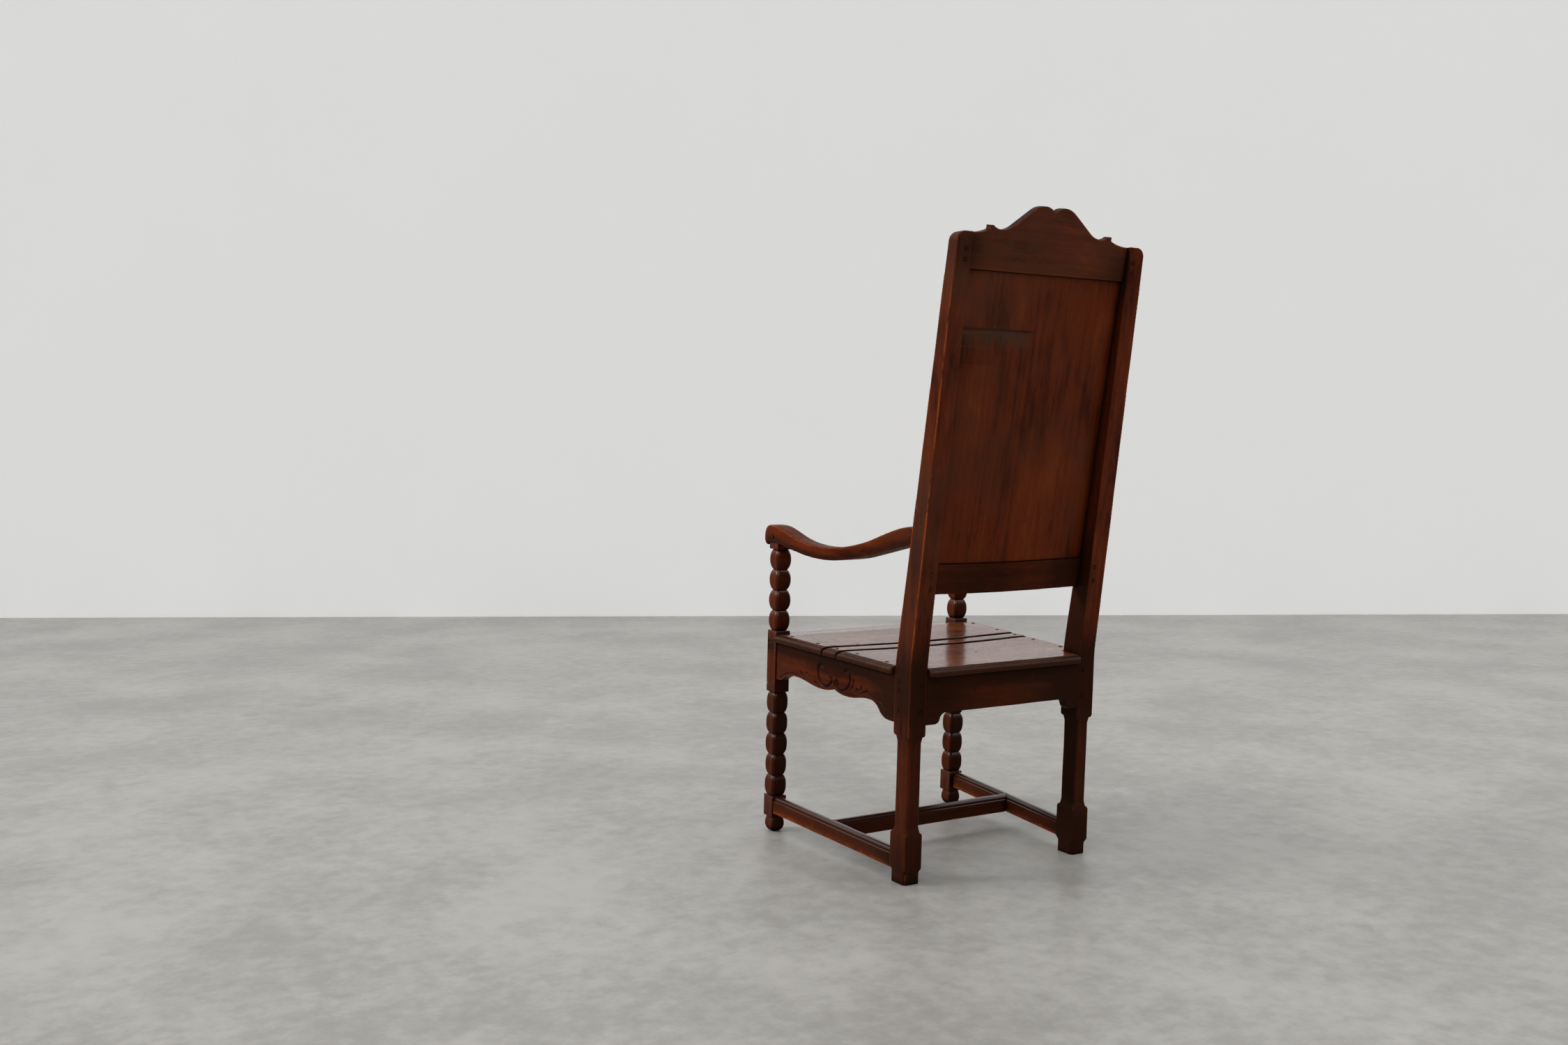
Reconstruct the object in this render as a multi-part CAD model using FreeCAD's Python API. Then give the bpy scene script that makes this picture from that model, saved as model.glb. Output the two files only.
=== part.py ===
import FreeCAD, Part
import math
import os

os.makedirs("parts", exist_ok=True)

# A joined high-back armchair, in millimetres. It is set out square on the bench:
# +X to the sitter's left, +Y to the back, +Z up the legs, with y = 0 on the rear
# face of the back posts and z = 0 under them. At the end the whole chair leans
# back a little and its feet are cut flat on the floor.

# Stance
seat_lean = 2.45            # degrees that the chair leans back as it stands
foot_spare = 12.0           # leg left under the floor line, cut off at the end

# Back posts
post_outer = 239.0          # half of the width over the back posts
post_width = 42.0           # across the chair
post_depth = 52.0           # front to back, at and below the seat
post_top = 1275.0
post_top_depth = 25.0       # front to back at the top
post_top_round = 19.0       # rounding of the top outer corner
post_top_taper = 4.0        # the outer face draws in by this at the top
knee_height = 440.0         # where the post starts to rake back
knee_radius = 250.0
back_rake = 8.5             # degrees, front face of the back
post_seat_block_low = 286.0
post_stretcher_block_high = 112.0
post_stretcher_block_low = 24.0
shaft_inset = 4.5           # each shaft face lies this far inside the blocks
shaft_stop = 15.0           # length of the sloping stop at each end
shaft_chamfer = 4.0
foot_inset = 1.2
foot_stop = 8.0
foot_chamfer = 6.0

# Front legs
leg_x = 249.0               # leg centre, half width
leg_y = -494.5
leg_block = 37.0
leg_stretcher_block_low = 14.0
leg_stretcher_block_high = 62.0
lower_bead_count = 5
lower_neck = 28.0           # across the flats between two beads
leg_seat_block_low = 299.5
leg_seat_block_high = 438.5
upper_bead_count = 4
upper_neck = 25.0
leg_top_block_low = 622.0
leg_top = 637.5             # underside of the arm
bead_facet = 6.0            # corner cut from each bead, along the face
bead_cuts = 3               # flat cuts that round each half of a bead
bun_width = 36.0
bun_neck = 29.0
bun_facet = 9.0
arm_tenon_side = 18.0
arm_tenon_height = 20.0

# Seat rails
rail_thickness = 20.0
rail_inset = 3.0            # side and front rails stand back from the leg faces
rail_low = 342.0            # main lower edge
rail_arch = 350.0           # top of the arches in that edge
rail_ear_low = 332.0        # small ear next to a front leg
rail_ear_length = 20.0
rail_bracket_low = 319.5    # bracket next to a back post
rail_bracket_length = 20.0
rail_bracket_rise = 62.0    # run of the side rail's curve from bracket to arch
rear_bracket_rise = 28.0    # the same on the rear rail
rail_cusp = 219.0           # from the front leg to the cusp of the side rail

# Seat boards
seat_low = 417.0
seat_thickness = 17.0
seat_side_overhang = 12.0
seat_front_overhang = 12.0
seat_rear_overhang = 10.0
seat_front_board = 186.0    # front leg's rear face to the first seam
seat_middle_board = 51.0
seat_seam = 0.5
seat_notch_gap = 4.0        # in front of a back post
seat_slip = 0.6             # beside a post or leg
mould_width = 11.0          # thumbnail moulding on the seat's edges
mould_quirk = 2.0           # step at its inner side
mould_flat = 5.0            # upright edge left below it
seat_corner_round = 8.0

# Back: heights are measured up the slope of the back, from the knee
back_rail_thickness = 16.0
crest_low = 778.0
crest_shoulder = 846.0      # at the posts
crest_ear = 863.0
crest_ear_notch = 855.0
crest_ear_x = 152.0
crest_ear_width = 7.0       # flat top of an ear
crest_cove = 856.0
crest_cove_x = 124.0
crest_lobe = 908.0
crest_lobe_x = 24.0
crest_dip = 897.0           # notch between the two lobes
crest_slope = 0.75          # steepest fall from a lobe to its cove
lower_rail_low = 142.0
lower_rail_high = 203.0
lower_rail_sag = 3.0
panel_front = 2.5           # set back from the front of the rails
panel_thickness = 8.0
panel_tongue = 8.0
panel_tongue_thickness = 5.0
scoop_height = 668.0        # sharp upper lip of the hollow worked into the panel's back
scoop_length = 55.0
scoop_depth = 3.0
scoop_reach = 190.0         # how far it runs in from the left post

# Arms
arm_front_overhang = 42.0   # leg centre to the tip
arm_front_droop = 7.0       # the tip hangs this far below the top of the leg
arm_front_width = 46.0
arm_end_round = 3.0         # crown of the rounded front end in plan
arm_rear_width = 40.0
arm_bow = 6.0               # outward swell in plan
arm_front_thickness = 34.5
arm_dip_low = 619.5
arm_dip_thickness = 24.5
arm_dip_place = 0.40        # share of the way from leg to post
arm_rear_low = 677.0
arm_rear_thickness = 35.0

# Stretchers
stretcher_low = 24.0
stretcher_high = 62.0
stretcher_width = 24.0
stretcher_inset = 3.0
stretcher_bead = 10.0       # height of the moulded top edge
stretcher_quirk = 2.0
cross_y = -268.0

# Joints
joint_fit = 0.1             # play of a tenon, tongue or peg
tenon_thickness = 8.0
rail_tenon_length = 17.0
post_tenon_length = 22.0
stretcher_tenon_length = 16.0
tenon_shoulder = 8.0        # shoulder above and below a tenon
peg_diameter = 8.0
peg_proud = 0.6
peg_depth = 30.0
side_peg_depth = 24.0
front_peg_depth = 20.0
arm_peg_depth = 38.0
peg_stop = 4.0              # wood left in front of a peg in the raked back
peg_inset = 13.0            # from a shoulder to the peg's centre
crest_peg_rises = (13.0, 34.0)      # above the lower edge of the crest
lower_peg_rises = (13.0, 42.0)      # above the lower edge of the lower back rail
side_rail_peg_heights = (346.0, 387.0, 405.0)
rear_rail_peg_heights = (346.0, 400.0)
front_rail_peg_heights = (362.0, 398.0)
arm_peg_height = 12.0       # above the top of the front leg
seat_peg_inset = 22.0       # in from the seat's moulded edge
seat_peg_depth = 40.0

# Repair let into the back of the left rear foot
patch_width = 26.0
patch_high = 22.0
patch_depth = 7.0

# Places that follow from these sizes
post_inner = post_outer - post_width
leg_half = leg_block / 2
leg_rear = leg_y + leg_half
leg_front = leg_y - leg_half
leg_inner = leg_x - leg_half
leg_outer = leg_x + leg_half
seat_high = seat_low + seat_thickness
rake = math.radians(back_rake)
lean = math.radians(seat_lean)
FAR = 2000.0


def at(x, y, z):
    return FreeCAD.Vector(x, y, z)


def block(low, high):
    """A box between two corners."""
    size = [b - a for a, b in zip(low, high)]
    return Part.makeBox(size[0], size[1], size[2], at(*low))


def front_of_back(z):
    """y of the raked front face of the back at bench height z."""
    return -post_depth + (z - knee_height) * math.tan(rake)


def mirrored(shape):
    return shape.mirror(at(0, 0, 0), at(1, 0, 0))


def on_back(shape):
    """Lay a shape drawn upright, front face at y = 0, on the raked back."""
    shape.rotate(at(0, 0, 0), at(1, 0, 0), -back_rake)
    shape.translate(at(0, -post_depth, knee_height))
    return shape


class Outline:
    """A flat outline of lines, arcs and smooth curves, closed into a face."""

    AXES = {"xy": (0, 1), "xz": (0, 2), "yz": (1, 2)}

    def __init__(self, plane, start, level=0.0):
        self.axes = self.AXES[plane]
        self.level = level
        self.first = self.last = self.point(start)
        self.edges = []

    def point(self, pair):
        place = [self.level] * 3
        place[self.axes[0]], place[self.axes[1]] = pair
        return at(*place)

    def add(self, curve, end):
        self.edges.append(curve.toShape())
        self.last = end
        return self

    def line(self, *pairs):
        for pair in pairs:
            end = self.point(pair)
            self.add(Part.LineSegment(self.last, end), end)
        return self

    def arc(self, middle, pair):
        end = self.point(pair)
        return self.add(Part.Arc(self.last, self.point(middle), end), end)

    def curve(self, *pairs):
        points = [self.last] + [self.point(pair) for pair in pairs]
        spline = Part.BSplineCurve()
        spline.interpolate(points)
        return self.add(spline, points[-1])

    def sweep(self, pair, level_start):
        """An arc that is level at its start, or else at its end."""
        a, b = (self.last[axis] for axis in self.axes)
        run, rise = pair[0] - a, pair[1] - b
        half_turn = math.atan2(abs(rise), abs(run))
        radius = (run * run + rise * rise) / (2 * abs(rise))
        along = math.copysign(radius * math.sin(half_turn), run)
        up = math.copysign(radius * (1 - math.cos(half_turn)), rise)
        middle = (a + along, b + up) if level_start else (pair[0] - along, pair[1] - up)
        return self.arc(middle, pair)

    def ogee(self, pair, slope=None):
        """Two equal arcs, level at both ends, with a straight between them where a slope is given."""
        a, b = (self.last[axis] for axis in self.axes)
        run, rise = pair[0] - a, pair[1] - b
        across, up = run / 2, rise / 2
        if slope:
            turn = math.atan(slope)
            sine, cosine = math.sin(turn), math.cos(turn)
            radius = (abs(run) * slope - abs(rise)) / (2 * (sine * slope - 1 + cosine))
            across = math.copysign(radius * sine, run)
            up = math.copysign(radius * (1 - cosine), rise)
        self.sweep((a + across, b + up), True)
        if slope:
            self.line((pair[0] - across, pair[1] - up))
        return self.sweep(pair, False)

    def face(self):
        if self.last.distanceToPoint(self.first) > 1e-6:
            self.edges.append(Part.LineSegment(self.last, self.first).toShape())
        return Part.Face(Part.Wire(self.edges))

    def solid(self, x=0.0, y=0.0, z=0.0):
        return self.face().extrude(at(x, y, z))


def shaved_rod(diameter, length, start, inward):
    """An eight-sided rod, as a peg is shaved with a knife."""
    turns = [math.radians(45 * i) for i in range(8)]
    corners = [at(math.cos(a), math.sin(a), 0) * (diameter / 2) for a in turns]
    rod = Part.Face(Part.makePolygon(corners + corners[:1])).extrude(at(0, 0, length))
    rod.Placement = FreeCAD.Placement(start, FreeCAD.Rotation(at(0, 0, 1), inward))
    return rod


def driven_peg(start, direction, length=peg_depth):
    """A peg driven in from a face, standing a little proud, and the hole it has pressed."""
    inward = at(*direction)
    inward.normalize()
    head = at(*start) - inward * peg_proud
    peg = shaved_rod(peg_diameter, length + peg_proud, head, inward)
    reach = length + peg_proud + joint_fit
    hole = shaved_rod(peg_diameter + 2 * joint_fit, reach + 5, head - inward * 5, inward)
    return peg, hole


def cut(shape, *cutters):
    """Cut shapes away, leaving out those that do not exist."""
    cutters = [c for c in cutters if c]
    return shape.cut(cutters).removeSplitter()


# Plan lines of the skewed sides: from the front leg's rear face to the post
side_front = leg_outer - rail_inset
side_rear = post_outer - rail_inset


side_run = -post_depth - leg_rear
side_angle = math.degrees(math.atan2(side_front - side_rear, side_run))


def side_x(y):
    """x of the outer face of the side rail at y."""
    return side_front + (side_rear - side_front) * (y - leg_rear) / side_run


def along_side(shape):
    """Lay a shape drawn along +Y from the origin, outer face at x = 0, on the left side."""
    shape.rotate(at(0, 0, 0), at(0, 0, 1), side_angle)
    shape.translate(at(side_front, leg_rear, 0))
    return shape


def between_joints(shape):
    """Trim a side piece to its shoulders on the front leg and the back post."""
    return shape.common(block((0, leg_rear, -FAR), (FAR, -post_depth, FAR)))


def side_strip(outside, inside, y_from, y_to, low, high):
    """An upright strip that follows the side, between two offsets in from its face."""
    corners = Outline("xy", (side_x(y_from) - outside, y_from), low)
    corners.line((side_x(y_to) - outside, y_to), (side_x(y_to) - inside, y_to))
    corners.line((side_x(y_from) - inside, y_from))
    return corners.solid(z=high - low)


def side_tenons(middle, low, high, length_front, length_rear, play=0.0):
    """The two tenons of a side rail or side stretcher, or their mortises."""
    half = tenon_thickness / 2 + play
    ends = []
    spans = ((leg_rear - length_front - play, leg_rear), (-post_depth, -post_depth + length_rear + play))
    for y_from, y_to in spans:
        ends.append(side_strip(middle - half, middle + half, y_from, y_to, low - play, high + play))
    return ends


def cross_tenons(shoulder, y_middle, low, high, length, play=0.0):
    """The left tenon of a rail that runs across the chair, or its mortise."""
    half = tenon_thickness / 2 + play
    return block((shoulder, y_middle - half, low - play),
                 (shoulder + length + play, y_middle + half, high + play))


# Tenon places, shared by each tenon and its mortise
side_middle = rail_thickness / 2
stretcher_middle = stretcher_inset - rail_inset + stretcher_width / 2
side_tenon_low = rail_arch + tenon_shoulder / 2
cross_rail_low = rail_arch + tenon_shoulder / 2
rail_tenon_high = seat_low - tenon_shoulder
rear_rail_y = -rail_thickness / 2
front_rail_front = leg_front + rail_inset
front_rail_y = front_rail_front + rail_thickness / 2
stretcher_tenon_low = stretcher_low + tenon_shoulder / 2
stretcher_tenon_high = stretcher_high - stretcher_bead
back_rail_middle = back_rail_thickness / 2


def crest_tenon(play=0.0):
    low, high = crest_low + tenon_shoulder, crest_shoulder - tenon_shoulder * 1.5
    return on_back(cross_tenons(post_inner, back_rail_middle, low, high, post_tenon_length, play))


def lower_back_tenon(play=0.0):
    low, high = lower_rail_low + tenon_shoulder, lower_rail_high - tenon_shoulder
    return on_back(cross_tenons(post_inner, back_rail_middle, low, high, post_tenon_length, play))


def rear_seat_tenon(play=0.0):
    return cross_tenons(post_inner, rear_rail_y, cross_rail_low, rail_tenon_high, post_tenon_length, play)


def front_seat_tenon(play=0.0):
    return cross_tenons(leg_inner, front_rail_y, cross_rail_low, rail_tenon_high, rail_tenon_length, play)


def side_seat_tenons(play=0.0):
    return side_tenons(side_middle, side_tenon_low, rail_tenon_high,
                       rail_tenon_length, post_tenon_length, play)


def side_stretcher_tenons(play=0.0):
    return side_tenons(stretcher_middle, stretcher_tenon_low, stretcher_tenon_high,
                       rail_tenon_length, post_tenon_length, play)


def arm_post_tenon(play=0.0):
    middle = post_outer - post_width / 2
    half = tenon_thickness / 2 + play
    low, high = arm_rear_low + tenon_shoulder, arm_rear_low + arm_rear_thickness - tenon_shoulder
    start = front_of_back(low) - tenon_shoulder
    end = front_of_back(low) + post_tenon_length + play
    return block((middle - half, start, low - play), (middle + half, end, high + play))


def leg_arm_tenon(play=0.0):
    half = arm_tenon_side / 2 + play
    return block((leg_x - half, leg_y - half, leg_top - play),
                 (leg_x + half, leg_y + half, leg_top + arm_tenon_height + play))


# Pegs, each with its hole, by group
def back_peg(x, height):
    """A peg driven square to the raked back, from the post's rear face."""
    z = knee_height + height * math.cos(rake)
    share = (z - knee_height) / (post_top - knee_height)
    rear_top = front_of_back(post_top) + post_top_depth
    y = rear_top * share
    depth = post_depth + (post_top_depth - post_depth) * share
    return driven_peg((x, y, z), (0, -math.cos(rake), math.sin(rake)), depth - peg_stop)


def peg_groups():
    inner = post_inner + peg_inset
    groups = {"crest_pegs": [back_peg(inner, crest_low + rise) for rise in crest_peg_rises],
              "lower_back_rail_pegs": [back_peg(inner, lower_rail_low + rise) for rise in lower_peg_rises]}
    groups["rear_seat_rail_pegs"] = [driven_peg((inner, 0, z), (0, -1, 0)) for z in rear_rail_peg_heights]
    side_y = -post_depth + peg_inset
    groups["side_seat_rail_pegs"] = [driven_peg((post_outer, side_y, z), (-1, 0, 0), side_peg_depth)
                                     for z in side_rail_peg_heights]
    front_x = leg_inner + peg_inset * 0.7
    groups["front_seat_rail_pegs"] = [driven_peg((front_x, leg_front, z), (0, 1, 0), front_peg_depth)
                                      for z in front_rail_peg_heights]
    arm_side = leg_x + arm_front_width / 2
    arm_peg_z = leg_top + arm_peg_height
    groups["arm_pegs"] = [driven_peg((arm_side, leg_y, arm_peg_z), (-1, 0, 0), arm_peg_depth)]
    return groups


pegs = peg_groups()


def holes(*groups):
    return [hole for name in groups for _, hole in pegs[name]]


# Back posts
def face_cutter(plane, face, inward, low, high, stop_low, stop_high, inset, span):
    """A shallow cut across one face of a post, with sloping stops at its ends."""
    across = {"xz": "y", "yz": "x"}[plane]
    start, length = span
    out = Outline(plane, (face - inward, low), start)
    floor = face + inward * inset
    out.line((face, low), (floor, low + stop_low), (floor, high - stop_high))
    out.line((face, high), (face - inward, high))
    return out.solid(**{across: length})


def corner_cutter(x, y, angle, low, high, ramp, chamfer):
    """A stopped chamfer along an upright corner that points outwards at angle."""
    depth = chamfer / math.sqrt(2)
    out = Outline("xz", (FAR / 200, low - ramp), -FAR / 100)
    out.line((0, low - ramp), (-depth, low), (-depth, high), (0, high + ramp))
    out.line((FAR / 200, high + ramp))
    cutter = out.solid(y=FAR / 50)
    cutter.rotate(at(0, 0, 0), at(0, 0, 1), angle)
    cutter.translate(at(x, y, 0))
    return cutter


def slimmed(low, high, stop_low, stop_high, inset, chamfer):
    """Cutters that slim a post between two heights and chamfer its corners."""
    cutters = []
    length = (low, high, stop_low, stop_high, inset)
    for face, inward in ((post_inner, 1), (post_outer, -1)):
        cutters.append(face_cutter("xz", face, inward, *length, (-1.5 * post_depth, 2 * post_depth)))
    for face, inward in ((-post_depth, 1), (0.0, -1)):
        cutters.append(face_cutter("yz", face, inward, *length, (post_inner - post_width, 3 * post_width)))
    rear, front = -inset, inset - post_depth
    outer, inner = post_outer - inset, post_inner + inset
    ramp = stop_high * 0.8
    bottom, top = low + stop_low + ramp / 6, high - stop_high - ramp / 6
    for x, y, angle in ((outer, rear, 45), (inner, rear, 135), (inner, front, 225), (outer, front, 315)):
        cutters.append(corner_cutter(x, y, angle, bottom, top, ramp, chamfer))
    return cutters


def panel_tongues(play=0.0):
    """The edge of the back panel that lies in the grooves round it."""
    half = panel_tongue_thickness / 2 + play
    middle = panel_front + panel_thickness / 2
    reach = panel_tongue + play
    low = lower_rail_high - lower_rail_sag - reach
    return on_back(block((-post_inner - reach, middle - half, low),
                         (post_inner + reach, middle + half, crest_low + reach)))


def bend_points(y, angle):
    """Start, middle and end of the arc where an upright line at y turns back by angle."""
    level = knee_height - knee_radius * math.tan(angle / 2)
    return [(y + knee_radius * (1 - math.cos(turn)), level + knee_radius * math.sin(turn))
            for turn in (0.0, angle / 2, angle)]


def rear_post_blank():
    """The post's side view and front view, sawn one after the other from one plank."""
    top_front = front_of_back(post_top)
    top_rear = top_front + post_top_depth
    front_bend = bend_points(-post_depth, rake)
    rear_bend = bend_points(0.0, math.atan2(top_rear, post_top - knee_height))
    side = Outline("yz", (-post_depth, -foot_spare), post_inner - 1)
    side.line(front_bend[0]).arc(front_bend[1], front_bend[2])
    side.line((top_front, post_top), (top_rear, post_top))
    side.line(rear_bend[2]).arc(rear_bend[1], rear_bend[0])
    side.line((0, -foot_spare))
    top_outer = post_outer - post_top_taper
    taper_start = knee_height + post_depth
    round_end = post_top - post_top_round
    round_x = top_outer + post_top_taper * post_top_round / (post_top - taper_start)
    front = Outline("xz", (post_inner, -FAR), -FAR / 2)
    front.line((post_outer, -FAR), (post_outer, taper_start), (round_x, round_end))
    front.arc((top_outer - 0.29 * post_top_round, post_top - 0.29 * post_top_round),
              (top_outer - post_top_round, post_top))
    front.line((post_inner, post_top))
    return side.solid(x=post_width + 2).common(front.solid(y=FAR))


def rear_post():
    """The left back post: leg and raked upright in one piece."""
    post = rear_post_blank()
    cutters = slimmed(post_stretcher_block_high - shaft_stop, post_seat_block_low + shaft_stop,
                      shaft_stop, shaft_stop, shaft_inset, shaft_chamfer)
    cutters += slimmed(-foot_spare - foot_stop, post_stretcher_block_low + foot_stop,
                       0.0, foot_stop, foot_inset, foot_chamfer)
    mortises = [make(joint_fit) for make in (crest_tenon, lower_back_tenon, rear_seat_tenon, arm_post_tenon)]
    mortises += [make(joint_fit)[1] for make in (side_seat_tenons, side_stretcher_tenons)]
    mortises.append(panel_tongues(joint_fit))
    bores = holes("crest_pegs", "lower_back_rail_pegs", "rear_seat_rail_pegs", "side_seat_rail_pegs")
    return cut(cut(post, *cutters), *mortises, *bores)


def foot_patch(play=0.0):
    """A block let into the back of the left rear foot."""
    middle = (post_inner + post_outer) / 2
    half = patch_width / 2 + play
    rear = -foot_inset
    return block((middle - half, rear - patch_depth - play, -foot_spare - play),
                 (middle + half, rear, patch_high + play))


# Front legs
def bead_run(steps, low, high, count, neck, full, flat):
    """A run of beads rounded by flat cuts; the share called flat is left straight."""
    pitch = (high - low) / count
    shoulder = pitch * (1 - flat) / 2
    turns = [math.pi / 2 * i / bead_cuts for i in range(1, bead_cuts + 1)]
    swell = [(neck + (full - neck) * math.sin(t), shoulder * (1 - math.cos(t))) for t in turns]
    for i in range(count):
        z = low + i * pitch
        steps.append(("line", *[(half, z + up) for half, up in swell]))
        if flat > 0:
            steps.append(("line", (full, z + pitch - shoulder)))
        falling = [(half, z + pitch - up) for half, up in reversed(swell[:-1])]
        steps.append(("line", *falling, (neck, z + pitch)))


def leg_profile(necks, bead, bun, bun_waist, corner, kind):
    """Steps of the leg's outline from the floor up, as half-widths in one direction."""
    floor = leg_y * math.tan(lean)
    foot = leg_stretcher_block_low - floor
    lower, upper = necks
    steps = [("line", (bun * 0.86, floor)),
             (kind, (bun, floor + 0.42 * foot), (bun_waist, leg_stretcher_block_low - 2)),
             ("line", (corner, leg_stretcher_block_low), (corner, leg_stretcher_block_high)),
             ("line", (lower, leg_stretcher_block_high))]
    bead_run(steps, leg_stretcher_block_high, leg_seat_block_low, lower_bead_count, lower, bead, 0.34)
    steps.append(("line", (corner, leg_seat_block_low), (corner, leg_seat_block_high)))
    steps.append(("line", (upper, leg_seat_block_high)))
    bead_run(steps, leg_seat_block_high, leg_top_block_low, upper_bead_count, upper, bead, 0.0)
    steps.append(("line", (corner, leg_top_block_low), (corner, leg_top)))
    return steps


def leg_slab(steps):
    """The leg's outline, mirrored about its centre line, as a thick slab."""
    start = steps[0][1][0]
    bottom = leg_y * math.tan(lean) - foot_spare
    half = Outline("xz", (0, bottom), -leg_block)
    half.line((start, bottom))
    for kind, *pairs in steps:
        getattr(half, kind)(*pairs)
    half.line((0, leg_top))
    right = half.solid(y=2 * leg_block)
    return right.fuse(mirrored(right)).removeSplitter()


def front_leg():
    """The left front leg: blocks and faceted beads worked from one square."""
    necks = (lower_neck / 2, upper_neck / 2)
    straight = leg_slab(leg_profile(necks, leg_half, bun_width / 2, bun_neck / 2, leg_half, "arc"))
    root = math.sqrt(2)
    facet = bead_facet / root
    necks = [neck * root - facet * 0.7 for neck in necks]
    foot_facet = bun_facet / root
    across = leg_slab(leg_profile(necks, leg_half * root - facet, bun_width / root - foot_facet,
                                  bun_neck / root - foot_facet, leg_half * root + 1, "line"))
    leg = straight
    for slab, angle in ((straight, 90), (across, 45), (across, 135)):
        turned = slab.copy()
        turned.rotate(at(0, 0, 0), at(0, 0, 1), angle)
        leg = leg.common(turned)
    leg.translate(at(leg_x, leg_y, 0))
    leg = leg.fuse(leg_arm_tenon()).removeSplitter()
    mortises = [make(joint_fit)[0] for make in (side_seat_tenons, side_stretcher_tenons)]
    mortises.append(front_seat_tenon(joint_fit))
    return cut(leg, *mortises, *holes("front_seat_rail_pegs", "arm_pegs"))


# Back
def crest_rail():
    """The shaped top rail, with an ear by each shoulder and two lobes in the middle."""
    half = Outline("xz", (0, crest_low))
    half.line((0, crest_dip)).sweep((crest_lobe_x, crest_lobe), False)
    half.ogee((crest_cove_x, crest_cove), crest_slope)
    half.sweep((crest_ear_x - crest_ear_width, crest_ear), True)
    half.line((crest_ear_x, crest_ear), (crest_ear_x, crest_ear_notch))
    half.sweep((post_inner, crest_shoulder), False)
    half.line((post_inner, crest_low))
    left = half.solid(y=back_rail_thickness)
    rail = on_back(left.fuse(mirrored(left)).removeSplitter())
    rail = rail.fuse([crest_tenon(), mirrored(crest_tenon())]).removeSplitter()
    pins = holes("crest_pegs")
    return cut(rail, panel_tongues(joint_fit), *pins, *[mirrored(h) for h in pins])


def lower_rail_edge(outline, height, direction):
    """One long edge of the lower back rail, sagging slightly in the middle."""
    return outline.arc((0, height - lower_rail_sag), (direction * post_inner, height))


def lower_back_rail():
    front = Outline("xz", (-post_inner, lower_rail_low))
    lower_rail_edge(front, lower_rail_low, 1)
    front.line((post_inner, lower_rail_high))
    lower_rail_edge(front, lower_rail_high, -1)
    rail = on_back(front.solid(y=back_rail_thickness))
    rail = rail.fuse([lower_back_tenon(), mirrored(lower_back_tenon())]).removeSplitter()
    pins = holes("lower_back_rail_pegs")
    return cut(rail, panel_tongues(joint_fit), *pins, *[mirrored(h) for h in pins])


def back_panel():
    """The tall panel, tongued into posts and rails, with a hollow worked in its back."""
    front = Outline("xz", (-post_inner, lower_rail_high), panel_front)
    lower_rail_edge(front, lower_rail_high, 1)
    front.line((post_inner, crest_low), (-post_inner, crest_low))
    panel = on_back(front.solid(y=panel_thickness)).fuse(panel_tongues()).removeSplitter()
    rear = panel_front + panel_thickness
    scoop = Outline("yz", (rear + 1, scoop_height), post_inner - scoop_reach)
    scoop.line((rear - scoop_depth, scoop_height))
    scoop_end = scoop_height - scoop_length
    scoop.arc((rear - scoop_depth * 0.35, scoop_height - scoop_length * 0.5), (rear, scoop_end))
    scoop.line((rear + 1, scoop_end))
    return cut(panel, on_back(scoop.solid(x=scoop_reach)))


# Seat rails
def side_seat_rail():
    """The left seat rail: an ear, an arch, a cusp between two lobes and a rear bracket."""
    front, rear = 0.0, side_run
    lobe = rail_low - 1.5
    cusp = rail_arch - 2
    side = Outline("yz", (front - 1, seat_low), 0)
    side.line((front - 1, rail_ear_low), (front + rail_ear_length, rail_ear_low))
    side.sweep((front + rail_ear_length + 55, rail_arch), False)
    side.ogee((front + rail_cusp - 45, lobe)).sweep((front + rail_cusp, cusp), True)
    side.sweep((front + rail_cusp + 42, lobe), False)
    side.ogee((rear - rail_bracket_length - rail_bracket_rise, rail_arch))
    side.ogee((rear - rail_bracket_length, rail_bracket_low))
    side.line((rear + rail_bracket_length, rail_bracket_low), (rear + rail_bracket_length, seat_low))
    rail = between_joints(along_side(side.solid(x=-rail_thickness)))
    rail = rail.fuse(side_seat_tenons()).removeSplitter()
    return cut(rail, *holes("side_seat_rail_pegs"))


def rear_seat_rail():
    """A plain rail with a bracket at each end."""
    half = Outline("xz", (0, seat_low), -rail_thickness)
    half.line((0, rail_low), (post_inner - rail_bracket_length - rear_bracket_rise, rail_low))
    half.ogee((post_inner - rail_bracket_length, rail_bracket_low))
    half.line((post_inner, rail_bracket_low), (post_inner, seat_low))
    left = half.solid(y=rail_thickness)
    rail = left.fuse([mirrored(left), rear_seat_tenon(), mirrored(rear_seat_tenon())]).removeSplitter()
    pins = holes("rear_seat_rail_pegs")
    return cut(rail, *pins, *[mirrored(h) for h in pins])


def front_seat_rail():
    """A shaped rail with ears, arches and a central cusp."""
    lobe = rail_low - 1.5
    half = Outline("xz", (0, seat_low), front_rail_front)
    half.line((0, rail_arch - 2)).sweep((45, lobe), False)
    ear = leg_inner - rail_ear_length
    half.ogee((ear - 55, rail_arch)).sweep((ear, rail_ear_low), True)
    half.line((leg_inner, rail_ear_low), (leg_inner, seat_low))
    left = half.solid(y=rail_thickness)
    rail = left.fuse([mirrored(left), front_seat_tenon(), mirrored(front_seat_tenon())]).removeSplitter()
    pins = holes("front_seat_rail_pegs")
    return cut(rail, *pins, *[mirrored(h) for h in pins])


# Seat
first_seam = leg_rear + seat_front_board
second_seam = first_seam + seat_middle_board


def seat_x(y):
    return side_x(y) + seat_side_overhang


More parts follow.
